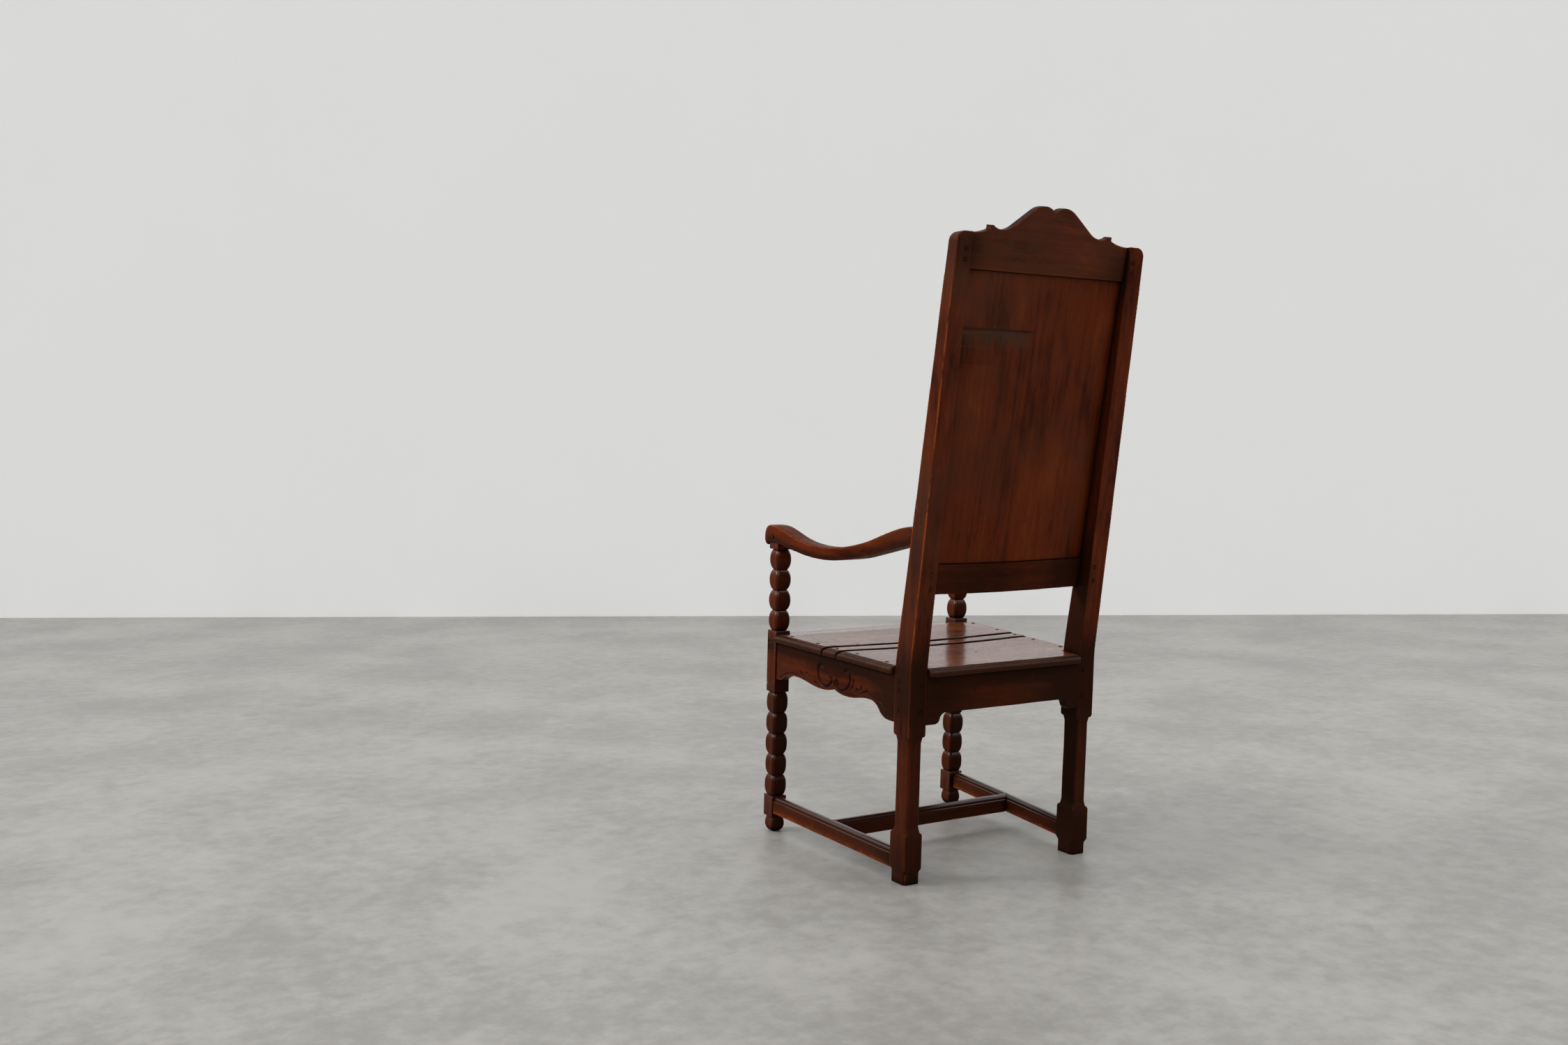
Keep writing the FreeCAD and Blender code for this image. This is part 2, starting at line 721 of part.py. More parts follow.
def mould_profile(outline, sign, edge):
    """Outline of what a thumbnail moulding takes off an edge; sign points outwards."""
    inner = edge - sign * mould_width
    shelf = seat_high - mould_quirk
    low = seat_low + mould_flat
    outline.line((inner, shelf))
    outline.arc((edge - sign * mould_width * 0.25, shelf - (shelf - low) * 0.25), (edge, low))
    outline.line((edge + sign * 5, low), (edge + sign * 5, seat_high + 1))


def seat_mouldings():
    """Cutters for the moulded side, rear and front edges of the seat."""
    side = Outline("xz", (seat_side_overhang - mould_width, seat_high + 1), -FAR / 20)
    mould_profile(side, 1, seat_side_overhang)
    side_cut = along_side(side.solid(y=FAR / 2))
    rear = Outline("yz", (seat_rear_overhang - mould_width, seat_high + 1), -FAR / 2)
    mould_profile(rear, 1, seat_rear_overhang)
    front_edge = leg_front - seat_front_overhang
    nose = Outline("yz", (front_edge + mould_width, seat_high + 1), -FAR / 2)
    mould_profile(nose, -1, front_edge)
    return [side_cut, mirrored(side_cut), rear.solid(x=FAR), nose.solid(x=FAR)]


def seat_half_outline():
    """Corner points of the seat's left half, from the front edge to the rear."""
    inner = leg_inner - seat_slip
    beside_post = post_inner - seat_slip
    front_edge = leg_front - seat_front_overhang
    behind_leg = leg_rear + seat_slip
    before_post = -post_depth - seat_notch_gap
    return [(inner, front_edge), (inner, behind_leg), (seat_x(behind_leg), behind_leg),
            (seat_x(before_post), before_post), (beside_post, before_post),
            (beside_post, seat_rear_overhang)]


def seat_boards():
    """Three boards that run across the seat, cut round the legs and posts."""
    half = seat_half_outline()
    plan = Outline("xy", half[0], seat_low)
    plan.line(*half[1:])
    plan.line(*[(-x, y) for x, y in reversed(half)])
    slab = plan.solid(z=seat_thickness)
    upright = [e for e in slab.Edges if e.BoundBox.ZLength > seat_thickness / 2]
    rear = [e for e in upright if abs(e.CenterOfMass.y - seat_rear_overhang) < 0.1]
    before_post = [e for e in upright if abs(e.CenterOfMass.y + post_depth + seat_notch_gap) < 0.1]
    outer = rear + [e for e in before_post if abs(e.CenterOfMass.x) > post_outer]
    slab = cut(slab.makeFillet(seat_corner_round, outer), *seat_mouldings())
    gap = seat_seam / 2
    bands = {"seat_board_front": (-FAR, first_seam - gap),
             "seat_board_middle": (first_seam + gap, second_seam - gap),
             "seat_board_rear": (second_seam + gap, FAR)}
    pins = [hole for _, hole in seat_pegs()]
    pins += [mirrored(hole) for hole in pins]
    sawn = {name: slab.common(block((-FAR, a, 0), (FAR, b, FAR))) for name, (a, b) in bands.items()}
    return {name: cut(board, *pins) for name, board in sawn.items()}


def seat_pegs():
    """Pegs that hold the left ends of the boards to the side rail."""
    end = 2 * seat_peg_inset
    places = (leg_rear + end, first_seam - end, (first_seam + second_seam) / 2,
              second_seam + end, -post_depth - end)
    return [driven_peg((seat_x(y) - seat_peg_inset, y, seat_high), (0, 0, -1), seat_peg_depth)
            for y in places]


# Arms
def front_arm():
    """The left arm: dips behind the leg, rises to the post and bows outwards."""
    tip = leg_y - arm_front_overhang
    top = leg_top + arm_front_thickness
    dip_y = leg_rear + (-post_depth - leg_rear) * arm_dip_place
    dip_top = arm_dip_low + arm_dip_thickness
    low_end = (front_of_back(arm_rear_low), arm_rear_low)
    rear_top = arm_rear_low + arm_rear_thickness
    high_end = (front_of_back(rear_top), rear_top)

    def between(a, b, share):
        return a + (b - a) * share

    side = Outline("yz", (leg_rear, leg_top), 0)
    side.curve((between(leg_rear, dip_y, 0.45), between(leg_top, arm_dip_low, 0.6)), (dip_y, arm_dip_low),
               (between(dip_y, low_end[0], 0.45), between(arm_dip_low, arm_rear_low, 0.29)),
               (between(dip_y, low_end[0], 0.8), between(arm_dip_low, arm_rear_low, 0.77)), low_end)
    side.line(high_end)
    side.curve((between(dip_y, high_end[0], 0.85), between(dip_top, rear_top, 0.9)),
               (between(dip_y, high_end[0], 0.5), between(dip_top, rear_top, 0.37)), (dip_y, dip_top),
               (between(leg_rear, dip_y, 0.4), between(top, dip_top, 0.66)), (leg_y, top),
               (tip + arm_front_thickness * 0.5, top - 1))
    droop = leg_top - arm_front_droop
    nose = (top - droop) / 2
    side.arc((tip, top - nose), (tip + nose * 0.7, droop))
    side.line((leg_front - arm_front_droop, droop), (leg_front, leg_top))
    upright = side.solid(x=FAR)

    rear_x = post_outer - arm_rear_width / 2
    rear_y = front_of_back(rear_top) + 30
    half_front, half_rear = arm_front_width / 2, arm_rear_width / 2
    middle_y = between(leg_y, -post_depth, 0.45)
    middle_x = between(leg_x, rear_x, 0.4) + arm_bow
    half_middle = between(half_front, half_rear, 0.5)
    round_start = tip + arm_end_round
    plan = Outline("xy", (leg_x + half_front, round_start), leg_top - FAR / 20)
    plan.curve((leg_x + half_front, leg_y), (middle_x + half_middle, middle_y),
               (rear_x + half_rear, -post_depth / 2), (rear_x + half_rear, rear_y))
    plan.line((rear_x - half_rear, rear_y))
    plan.curve((rear_x - half_rear, -post_depth / 2), (middle_x - half_middle, middle_y),
               (leg_x - half_front, leg_y), (leg_x - half_front, round_start))
    plan.arc((leg_x, tip), (leg_x + half_front, round_start))
    arm = upright.common(plan.solid(z=FAR / 10))
    arm = arm.fuse(arm_post_tenon()).removeSplitter()
    return cut(arm, leg_arm_tenon(joint_fit), *holes("arm_pegs"))


# Stretchers
def stretcher_section(outline, middle, half):
    """A rectangle with a quirk and a quarter round on each upper edge."""
    bead = stretcher_high - stretcher_bead
    top = half - stretcher_quirk - stretcher_bead * 0.8
    quirk = half - stretcher_quirk
    swell, rise = quirk - stretcher_bead * 0.23, bead + stretcher_bead * 0.71
    outline.line((middle + half, stretcher_low), (middle + half, bead), (middle + quirk, bead))
    outline.arc((middle + swell, rise), (middle + top, stretcher_high))
    outline.line((middle - top, stretcher_high))
    outline.arc((middle - swell, rise), (middle - quirk, bead))
    outline.line((middle - half, bead))
    return outline


def side_stretcher_body():
    """The left side stretcher without its mortise for the cross stretcher."""
    middle = -stretcher_middle
    half = stretcher_width / 2
    section = Outline("xz", (middle - half, stretcher_low), -stretcher_width)
    body = stretcher_section(section, middle, half).solid(y=side_run + 2 * stretcher_width)
    body = between_joints(along_side(body))
    return body.fuse(side_stretcher_tenons()).removeSplitter()


def cross_tenon(play=0.0):
    """The left tenon of the cross stretcher, or its mortise."""
    shoulder = side_x(cross_y) - stretcher_middle - stretcher_width / 2
    return cross_tenons(shoulder - tenon_shoulder, cross_y, stretcher_tenon_low, stretcher_tenon_high,
                        tenon_shoulder + stretcher_tenon_length, play)


def stretchers():
    """The H of stretchers: two sides and the cross piece scribed between them."""
    half = stretcher_width / 2
    left = side_stretcher_body()
    reach = side_x(cross_y) - stretcher_middle
    section = stretcher_section(Outline("yz", (cross_y - half, stretcher_low), -reach), cross_y, half)
    cross = cut(section.solid(x=2 * reach), left, mirrored(left))
    cross = cross.fuse([cross_tenon(), mirrored(cross_tenon())]).removeSplitter()
    left = cut(left, cross_tenon(joint_fit))
    return {"left_side_stretcher": left, "right_side_stretcher": mirrored(left), "cross_stretcher": cross}


# Assembly
def both_sides(solids):
    return Part.makeCompound(solids + [mirrored(s) for s in solids])


def assemble():
    post = rear_post()
    leg = front_leg()
    side_rail = side_seat_rail()
    arm = front_arm()
    nodes = {
        "left_rear_post": cut(post, foot_patch(joint_fit)), "right_rear_post": mirrored(post),
        "left_rear_foot_patch": foot_patch(),
        "left_front_leg": leg, "right_front_leg": mirrored(leg),
        "left_arm": arm, "right_arm": mirrored(arm),
        "crest_rail": crest_rail(), "lower_back_rail": lower_back_rail(), "back_panel": back_panel(),
        "front_seat_rail": front_seat_rail(), "rear_seat_rail": rear_seat_rail(),
    }
    rail_holes = [hole for _, hole in seat_pegs()]
    side_rail = cut(side_rail, *rail_holes)
    nodes["left_seat_rail"] = side_rail
    nodes["right_seat_rail"] = mirrored(side_rail)
    nodes.update(seat_boards())
    nodes.update(stretchers())
    for name, group in pegs.items():
        nodes[name] = both_sides([peg for peg, _ in group])
    nodes["seat_pegs"] = both_sides([peg for peg, _ in seat_pegs()])
    return nodes


def standing(nodes):
    """Lean the chair back, cut the feet on the floor and centre it front to back."""
    under_floor = block((-FAR, -FAR, -FAR), (FAR, FAR, 0))
    for name, shape in nodes.items():
        shape = shape.copy()
        shape.rotate(at(0, 0, 0), at(1, 0, 0), -seat_lean)
        nodes[name] = shape.cut(under_floor) if shape.BoundBox.ZMin < 1e-3 else shape
    box = Part.makeCompound(list(nodes.values())).optimalBoundingBox(False)
    for shape in nodes.values():
        shape.translate(at(0, -(box.YMin + box.YMax) / 2, 0))
    return nodes


for node, solid in standing(assemble()).items():
    solid.exportStep(f"parts/{node}.step")
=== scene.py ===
import math
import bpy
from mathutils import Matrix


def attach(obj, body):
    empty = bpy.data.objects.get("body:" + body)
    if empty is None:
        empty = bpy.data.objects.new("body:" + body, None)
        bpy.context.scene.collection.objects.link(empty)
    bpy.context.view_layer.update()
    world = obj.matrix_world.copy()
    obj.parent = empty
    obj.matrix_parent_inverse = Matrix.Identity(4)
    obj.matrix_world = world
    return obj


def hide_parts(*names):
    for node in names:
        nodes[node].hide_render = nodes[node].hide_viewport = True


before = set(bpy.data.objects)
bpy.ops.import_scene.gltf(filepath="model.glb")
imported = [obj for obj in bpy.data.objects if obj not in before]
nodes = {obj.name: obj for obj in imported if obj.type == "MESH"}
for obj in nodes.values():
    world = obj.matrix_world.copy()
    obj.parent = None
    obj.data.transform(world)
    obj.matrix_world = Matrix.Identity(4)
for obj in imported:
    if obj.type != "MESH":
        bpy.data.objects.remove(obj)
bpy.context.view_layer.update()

import zlib

import bmesh
import bpy
import numpy as np
from mathutils import Matrix, Vector

# The chair's own sizes that the finish has to follow, in metres. The bench frame is square
# to the legs; the chair leans back from it as it stands.
LEAN = math.radians(2.45)
RAKE = math.radians(8.5)
BENCH_SHIFT = 0.17864
POST_DEPTH = 0.052
POST_ARRIS = 0.206            # inner arris of a post, from the middle of the chair
KNEE_HEIGHT = 0.440
EAR_X = 0.149                 # ears of the crest rail, from the middle of the chair

LEG_X = 0.249
LEG_Y = -0.4945
LEG_REAR = -0.476
LEG_HALF = 0.0185
FOOT_LOW = -0.0212
FOOT_RISE = 0.0335
BUN_HALF = 0.0176
BUN_WIDEST = 0.52             # share of the foot's height
STRETCHER_BLOCK = (0.014, 0.062)
SEAT_BLOCK = (0.2995, 0.4385)
SEAT_BLOCK_MIDDLE = 0.369
TOP_BLOCK = (0.622, 0.6375)
LEG_TENON = 0.020

SIDE_FRONT = 0.2645
SIDE_TAPER = 0.0285
SIDE_RUN = 0.424
SIDE_ANGLE = math.atan2(SIDE_TAPER, SIDE_RUN)
STRETCHER_BEAD = 0.052

SEAT_LOW = 0.417
SEAT_THICK = 0.017
SEAT_FRONT = -0.50
SEAT_RUN = 0.49
SEAT_HALF = 0.225
SEAMS = (-0.290, -0.2385)
SEAM_ZONE = (-0.46, -0.10)    # board ends between these lie at a seam
SEAM_OPEN = 0.0014
SEAM_SUNK = 0.0028
SEAT_SAG = 0.0035
FRONT_WORN = 0.0065
HOLE_DEPTH = 0.003
SEAT_HOLES = [(0.165, -0.300, 0.0030), (-0.110, -0.415, 0.0022), (0.040, -0.470, 0.0018),
              (-0.020, -0.125, 0.0020)]

PANEL_BACK = 0.0105
HOLLOW_DEPTH = 0.0042
HOLLOW_FOOT = 0.598
HOLLOW_LIP = 0.6678

BENCH = Matrix.Translation((0, BENCH_SHIFT, 0)) @ Matrix.Rotation(-LEAN, 4, "X")
BACK = (BENCH @ Matrix.Translation((0, -POST_DEPTH, KNEE_HEIGHT))
        @ Matrix.Rotation(-RAKE, 4, "X"))
LEFT_SIDE = (BENCH @ Matrix.Translation((SIDE_FRONT, LEG_REAR, 0))
             @ Matrix.Rotation(SIDE_ANGLE, 4, "Z"))
RIGHT_SIDE = (BENCH @ Matrix.Translation((-SIDE_FRONT, LEG_REAR, 0))
              @ Matrix.Rotation(-SIDE_ANGLE, 4, "Z"))

ALONG_X, ALONG_Y, ALONG_Z = (0, 1, 2), (1, 2, 0), (2, 0, 1)

# Lines of the carving on a side rail: millimetres from the front leg, and up from the bench.
CHANNELS = [[(177, 391), (170, 394), (162, 389), (159, 379), (161, 367), (166, 359),
             (175, 352), (187, 349), (199, 353), (207, 361), (208, 367), (204, 371)],
            [(254, 391), (261, 396), (269, 393), (273, 382), (271, 370), (264, 359),
             (251, 351), (236, 350), (222, 356), (220, 363), (226, 368), (232, 364),
             (229, 359)]]
LEAVES = [[(96, 364), (101, 358), (115, 351)], [(117, 366), (122, 362), (131, 357)],
          [(148, 352), (160, 347)], [(312, 371), (309, 364), (299, 354)],
          [(333, 365), (318, 359), (296, 349)], [(298, 363), (296, 359), (288, 353)],
          [(285, 379), (283, 369), (277, 359), (263, 348)]]
EDGE_LINES = [[(15, 336), (23, 343), (38, 350), (57, 355), (75, 356), (88, 355), (100, 351),
               (115, 347)],
              [(336, 359), (347, 356), (362, 354), (374, 352), (385, 345), (395, 337),
               (402, 329), (416, 327)]]
TOOL_MARKS = [[(332, 398), (340, 401), (350, 402)], [(379, 400), (387, 403), (397, 404)],
              [(261, 399), (273, 401), (284, 403)], [(28, 398), (45, 403), (66, 401)]]
# Lines, then the width, depth and fade of the gouge that cuts them
CARVING = [(CHANNELS, 0.0030, 0.0030, 0.0), (LEAVES, 0.0023, 0.0028, 0.8),
           (EDGE_LINES, 0.0013, 0.0015, 0.0), (TOOL_MARKS, 0.0016, 0.0007, 0.6)]

# Curls on the outer face of a front leg's seat block: millimetres along, and up from the bench
BLOCK_CURLS = [[(-505, 397), (-497, 393), (-490, 387), (-488, 381), (-492, 374)],
               [(-507, 410), (-499, 414), (-490, 412)], [(-509, 385), (-510, 372), (-508, 360)],
               [(-512, 318), (-504, 317), (-497, 315)], [(-492, 325), (-484, 325)]]

# Shake and scratches in the left post: line across and up the back, width and depth
POST_MARKS = [([(228, 835), (227, 790), (226, 740)], 0.0011, 0.0030),
              ([(227, 735), (226, 700)], 0.0009, 0.0012),
              ([(219, 215), (214, 200)], 0.0010, 0.0010),
              ([(213, 640), (208, 643)], 0.0010, 0.0008)]


# Shaping helpers, all on arrays of points

def seed_of(name):
    return zlib.crc32(name.encode())


def ripple(points, size, seed):
    """Smooth hand-made unevenness between about -1 and 1, with swells of the given size."""
    dice = np.random.default_rng(seed)
    total = np.zeros(len(points))
    for _ in range(7):
        way = dice.normal(size=3)
        way *= 2 * math.pi / size * dice.uniform(0.6, 1.4) / np.linalg.norm(way)
        total += np.sin(points @ way + dice.uniform(0, 2 * math.pi))
    return total / 2.6


def step(values, low, high):
    """Ease from 0 to 1 as the values go from low to high."""
    share = np.clip((values - low) / (high - low), 0, 1)
    return share * share * (3 - 2 * share)


def points_of(mesh):
    points = np.empty(len(mesh.vertices) * 3)
    mesh.vertices.foreach_get("co", points)
    return points.reshape(-1, 3)


def normals_of(mesh):
    normals = np.empty(len(mesh.vertices) * 3)
    mesh.vertex_normals.foreach_get("vector", normals)
    return normals.reshape(-1, 3)


def put_points(mesh, points):
    mesh.vertices.foreach_set("co", points.astype(np.float32).ravel())
    mesh.update()


def edges_of(mesh):
    edges = np.empty(len(mesh.edges) * 2, np.int64)
    mesh.edges.foreach_get("vertices", edges)
    return edges.reshape(-1, 2)


def drawn(points, edges, pulls):
    """Draw each point towards the middle of its neighbours, once for each pull."""
    count = np.bincount(edges.ravel(), minlength=len(points)).astype(float)[:, None]
    for pull in pulls:
        total = np.zeros_like(points)
        for axis in range(3):
            for near, far in ((0, 1), (1, 0)):
                total[:, axis] += np.bincount(edges[:, near], points[edges[:, far], axis],
                                              len(points))
        points = points + pull * (total / count - points)
    return points


def ease(mesh, rounds):
    """Wear the arrises round without thinning the piece: draw together, then swell back."""
    put_points(mesh, drawn(points_of(mesh), edges_of(mesh), (0.5, -0.53) * rounds))


def settle(mesh):
    """Take out of a level face the small facets that thinning leaves in it."""
    level_part = step(normals_of(mesh)[:, 2], 0.970, 0.985)[:, None]
    put_points(mesh, drawn(points_of(mesh), edges_of(mesh), [0.5 * level_part] * 14))


def with_modifier(mesh, kind, **settings):
    """The mesh as one modifier leaves it."""
    holder = bpy.data.objects.new("holder", mesh)
    bpy.context.scene.collection.objects.link(holder)
    modifier = holder.modifiers.new(kind, kind)
    for name, value in settings.items():
        setattr(modifier, name, value)
    graph = bpy.context.evaluated_depsgraph_get()
    made = bpy.data.meshes.new_from_object(holder.evaluated_get(graph))
    bpy.data.objects.remove(holder)
    return made


def welded(mesh):
    """A copy of the mesh whose faces share their corners."""
    work = bmesh.new()
    work.from_mesh(mesh)
    bmesh.ops.remove_doubles(work, verts=work.verts, dist=1e-6)
    made = bpy.data.meshes.new("welded")
    work.to_mesh(made)
    work.free()
    return made


def moved(points, matrix):
    grid = np.array(matrix)
    return points @ grid[:3, :3].T + grid[:3, 3]


# Carving

def flowing(corners, cuts=10):
    """A smooth line, in metres, through the places given in millimetres."""
    corners = np.array(corners, float) / 1000
    path = np.vstack([2 * corners[0] - corners[1], corners, 2 * corners[-1] - corners[-2]])
    t = np.linspace(0, 1, cuts, endpoint=False)[:, None]
    line = [0.5 * (2 * b + (c - a) * t + (2 * a - 5 * b + 4 * c - d) * t ** 2
                   + (3 * b - a - 3 * c + d) * t ** 3)
            for a, b, c, d in zip(path, path[1:], path[2:], path[3:])]
    return np.vstack(line + [corners[-1:]])


def cut_of(places, corners, width, depth, fade):
    """Depth of a gouge cut along a line; fade thins it out towards its end."""
    line = flowing(corners)
    starts, runs = line[:-1], np.diff(line, axis=0)
    nearest = np.full(len(places), 1.0)
    along = np.zeros(len(places))
    for i, (start, run) in enumerate(zip(starts, runs)):
        share = np.clip(((places - start) @ run) / max(run @ run, 1e-12), 0, 1)
        away = np.linalg.norm(places - start - share[:, None] * run, axis=1)
        closer = away < nearest
        nearest[closer] = away[closer]
        along[closer] = (i + share[closer]) / len(runs)
    return depth * np.exp(-(nearest / width) ** 2) * (1 - fade * along)


def carve_rail(outward):
    """Two facing scrolls, leaves and an edge line, cut into the outer face of a side rail."""
    def shape(mesh):
        points = points_of(mesh)
        face = (normals_of(mesh)[:, 0] * outward > 0.5) & (np.abs(points[:, 0]) < 0.004)
        places = points[face][:, 1:]
        cuts = [cut_of(places, line, width, depth, fade)
                for lines, width, depth, fade in CARVING for line in lines]
        points[face, 0] -= outward * np.max(cuts, axis=0)
        put_points(mesh, points)
    return shape


# Own shapes of single pieces

def soften_upward(mesh):
    """Hands have worn the upper edges of an arm to a full round, and its end to a knob."""
    swell = 0.0030
    edges = edges_of(mesh)
    points = points_of(mesh)
    foremost = points[:, 1].min() + 0.0006
    up = step(normals_of(mesh)[:, 2], -0.30, 0.05)
    points = drawn(points, edges, [0.5 * up[:, None]] * 45)
    end = step(-points[:, 1], 0.505, 0.530)
    points = drawn(points, edges, [0.5 * end[:, None]] * 70)
    put_points(mesh, points)
    normals = normals_of(mesh)
    points[:, 2] += swell * np.clip(normals[:, 2], 0, 1)
    points[:, 1:] += swell * end[:, None] * normals[:, 1:]
    points[:, 1] = np.maximum(points[:, 1], foremost)
    put_points(mesh, points)


def seat_wear(mesh):
    """The boards have sunk between the rails, opened at the seams and worn at the front."""
    points = points_of(mesh)
    front, rear = points[:, 1].min(), points[:, 1].max()
    rise = np.clip((points[:, 2] - SEAT_LOW) / SEAT_THICK, 0, 1)
    across = np.clip(1 - (points[:, 0] / SEAT_HALF) ** 2, 0, 1)
    depth = np.clip((points[:, 1] - SEAT_FRONT) / SEAT_RUN, 0, 1)
    drop = (SEAT_SAG * across * np.sin(math.pi * depth)
            + FRONT_WORN * step(-points[:, 1], 0.440, 0.512))
    points[:, 2] -= drop * rise
    for edge, inward, sunk in ((front, 1, SEAM_SUNK), (rear, -1, 0.0)):
        if SEAM_ZONE[0] < edge < SEAM_ZONE[1]:
            near = np.abs(points[:, 1] - edge)
            points[:, 2] -= sunk * rise * (1 - step(near, 0.0, 0.016))
            points[:, 1] += inward * SEAM_OPEN * (1 - step(near, 0.0, 0.010))
    for x, y, size in SEAT_HOLES:
        away = (points[:, 0] - x) ** 2 + (points[:, 1] - y) ** 2
        points[:, 2] -= HOLE_DEPTH * rise * np.exp(-away / size ** 2)
    put_points(mesh, points)


def hollow_back(mesh):
    """Run the hollow in the panel's back out gently at its far end and its foot."""
    points = points_of(mesh)
    x, z = points[:, 0], points[:, 2]
    rear = normals_of(mesh)[:, 1] > 0.4
    inside = rear & (x > -0.004) & (z > HOLLOW_FOOT - 0.002) & (z < HOLLOW_LIP)
    upward = np.clip((z - HOLLOW_FOOT) / 0.070, 0, 1)
    depth = HOLLOW_DEPTH * upward ** 2.2 * step(x, -0.002, 0.016)
    points[inside, 1] = PANEL_BACK - depth[inside]
    put_points(mesh, points)


def split_post(mesh):
    """A shake opened along the outer rear arris of the left post, and old scratches."""
    points = points_of(mesh)
    back = moved(points, BACK.inverted() @ BENCH)
    rear = normals_of(mesh)[:, 1] > 0.5
    places = back[rear][:, [0, 2]]
    cuts = [cut_of(places, line, width, depth, 0.5) for line, width, depth in POST_MARKS]
    points[rear, 1] -= np.max(cuts, axis=0)
    put_points(mesh, points)


def leg_rows():
    """Rows of a front leg from floor to arm: height, half-width across the flats,
    half-width across the corners, and crispness."""
    root = math.sqrt(2)
    square, corner = LEG_HALF + 0.0002, LEG_HALF * root * 0.995
    eased_end = ((0.0, 0.0016), (0.0004, 0.0006), (0.0014, 0.0))    # rise and draw-in
    neck_cut, bead_cut = 0.0026, 0.0040
    rows = []

    def bun_foot():
        for share in (-0.2, *np.linspace(0.0, 1.0, 14)):
            reach = 0.60 if share < BUN_WIDEST else 0.85
            half = BUN_HALF * math.sqrt(1 - ((max(share, 0.0) - BUN_WIDEST) / reach) ** 2)
            rows.append((FOOT_LOW + FOOT_RISE * share, half, half * root * 0.89, 24))

    def block(low, high, gap=0.002):
        for rise, draw in eased_end:
            rows.append((low + rise, square - draw, corner - root * draw, 60))
        for z in np.arange(low + 0.003, high - 0.003, gap):
            rows.append((z, square, corner, 60))
        for rise, draw in reversed(eased_end):
            rows.append((high - rise, square - draw, corner - root * draw, 60))

    def beads(low, high, count, neck, flat):
        pitch = (high - low) / count
        for i in range(count):
            full = square + 0.0011 + 0.0003 * math.sin(2.3 * i + 40 * low)
            for turn in np.linspace(-0.985, 0.985, 19):
                up = math.sin(turn * math.pi / 2)
                swell = (1 - abs(up) ** flat) ** 0.70
                half = neck + (full - neck) * swell
                cut = (neck * root - neck_cut
                       + (full * root - bead_cut - neck * root + neck_cut) * swell)
                rows.append((low + (i + 0.5 + up / 2) * pitch, half, cut, 40))

    bun_foot()
    block(*STRETCHER_BLOCK)
    beads(STRETCHER_BLOCK[1], SEAT_BLOCK[0], 5, 0.0136, 2.6)
    block(*SEAT_BLOCK, 0.0014)
    beads(SEAT_BLOCK[1], TOP_BLOCK[0], 4, 0.0124, 2.1)
    block(*TOP_BLOCK)
    for rise in (0.0, LEG_TENON):
        rows.append((TOP_BLOCK[1] + rise, 0.009, 0.0125, 30))
    return rows


def beaded_leg(side, mirror):
    """A front leg worked from one square: bun foot, faceted beads and plain blocks."""
    face_turns = np.arctan(np.linspace(-1, 1, 24, endpoint=False))
    turns = np.concatenate([face_turns + quarter * math.pi / 2 for quarter in range(4)])
    rows = leg_rows()
    points = []
    for z, flat, corner, crisp in rows:
        sides = ((0, flat), (math.pi / 2, flat), (math.pi / 4, corner), (-math.pi / 4, corner))
        pull = sum(np.abs(np.cos(turns - turn) / reach) ** crisp for turn, reach in sides)
        reach = pull ** (-1 / crisp)
        points.append(np.column_stack([LEG_X + reach * np.cos(turns),
                                       LEG_Y + reach * np.sin(turns),
                                       np.full(len(turns), z)]))
    points = np.vstack(points)
    outer = ((points[:, 0] > LEG_X + LEG_HALF - 0.0008)
             & (np.abs(points[:, 2] - SEAT_BLOCK_MIDDLE) < 0.066))
    places = points[outer][:, 1:]
    cuts = [cut_of(places, line, 0.0017, 0.0014, 0.3) for line in BLOCK_CURLS]
    points[outer, 0] -= np.max(cuts, axis=0)
    points[:, 2] += 0.00025 * ripple(points, 0.05, seed_of(side))

    around, high = len(turns), len(rows)
    faces = []
    for low in range(0, (high - 1) * around, around):
        for i in range(around):
            j = (i + 1) % around
            faces.append((low + i, low + j, low + around + j, low + around + i))
    faces += [tuple(reversed(range(around))), tuple(range((high - 1) * around, high * around))]
    if mirror:
        points[:, 0] *= -1
        faces = [tuple(reversed(face)) for face in faces]
    mesh = bpy.data.meshes.new(f"{side} leg")
    mesh.from_pydata(moved(points, BENCH).tolist(), [], faces)
    return finished(with_modifier(mesh, "DECIMATE", ratio=0.4), f"{side}_front_leg", BENCH,
                    ALONG_Z)


# Marks that the finishes read

def spots_of_soil():
    """Places where hands, feet and joints have left the wood dark: place, reach, strength."""
    on_legs = ((-0.030, 0.395, 0.085, 0.75), (-0.020, 0.03, 0.07, 0.45),
               (-0.030, 0.20, 0.14, 0.12))
    on_back = ((0.200, 0.815, 0.060, 0.75), (-0.195, 0.80, 0.05, 0.6),
               (0.11, 0.64, 0.035, 0.5), (0.165, 0.645, 0.035, 0.5),
               (0.188, 0.595, 0.022, 0.8), (-0.175, 0.17, 0.06, 0.5),
               (-0.12, 0.76, 0.08, 0.35), (0.06, 0.17, 0.10, 0.3))
    spots = [(BENCH @ Vector((x, y, up)), reach, strength)
             for x in (0.212, -0.212) for y, up, reach, strength in on_legs]
    spots += [(BACK @ Vector((x, 0.012, up)), reach, strength)
              for x, up, reach, strength in on_back]
    return spots


SOIL = spots_of_soil()
PEG_ENDS = np.vstack([points_of(nodes[name].data) for name in sorted(nodes)
                      if name.endswith("_pegs")])


def mark(mesh, name, values):
    """Store a number or a place for every point."""
    kind, field = ("FLOAT_VECTOR", "vector") if values.ndim == 2 else ("FLOAT", "value")
    made = mesh.attributes.new(name, kind, "POINT")
    made.data.foreach_set(field, values.astype(np.float32).ravel())


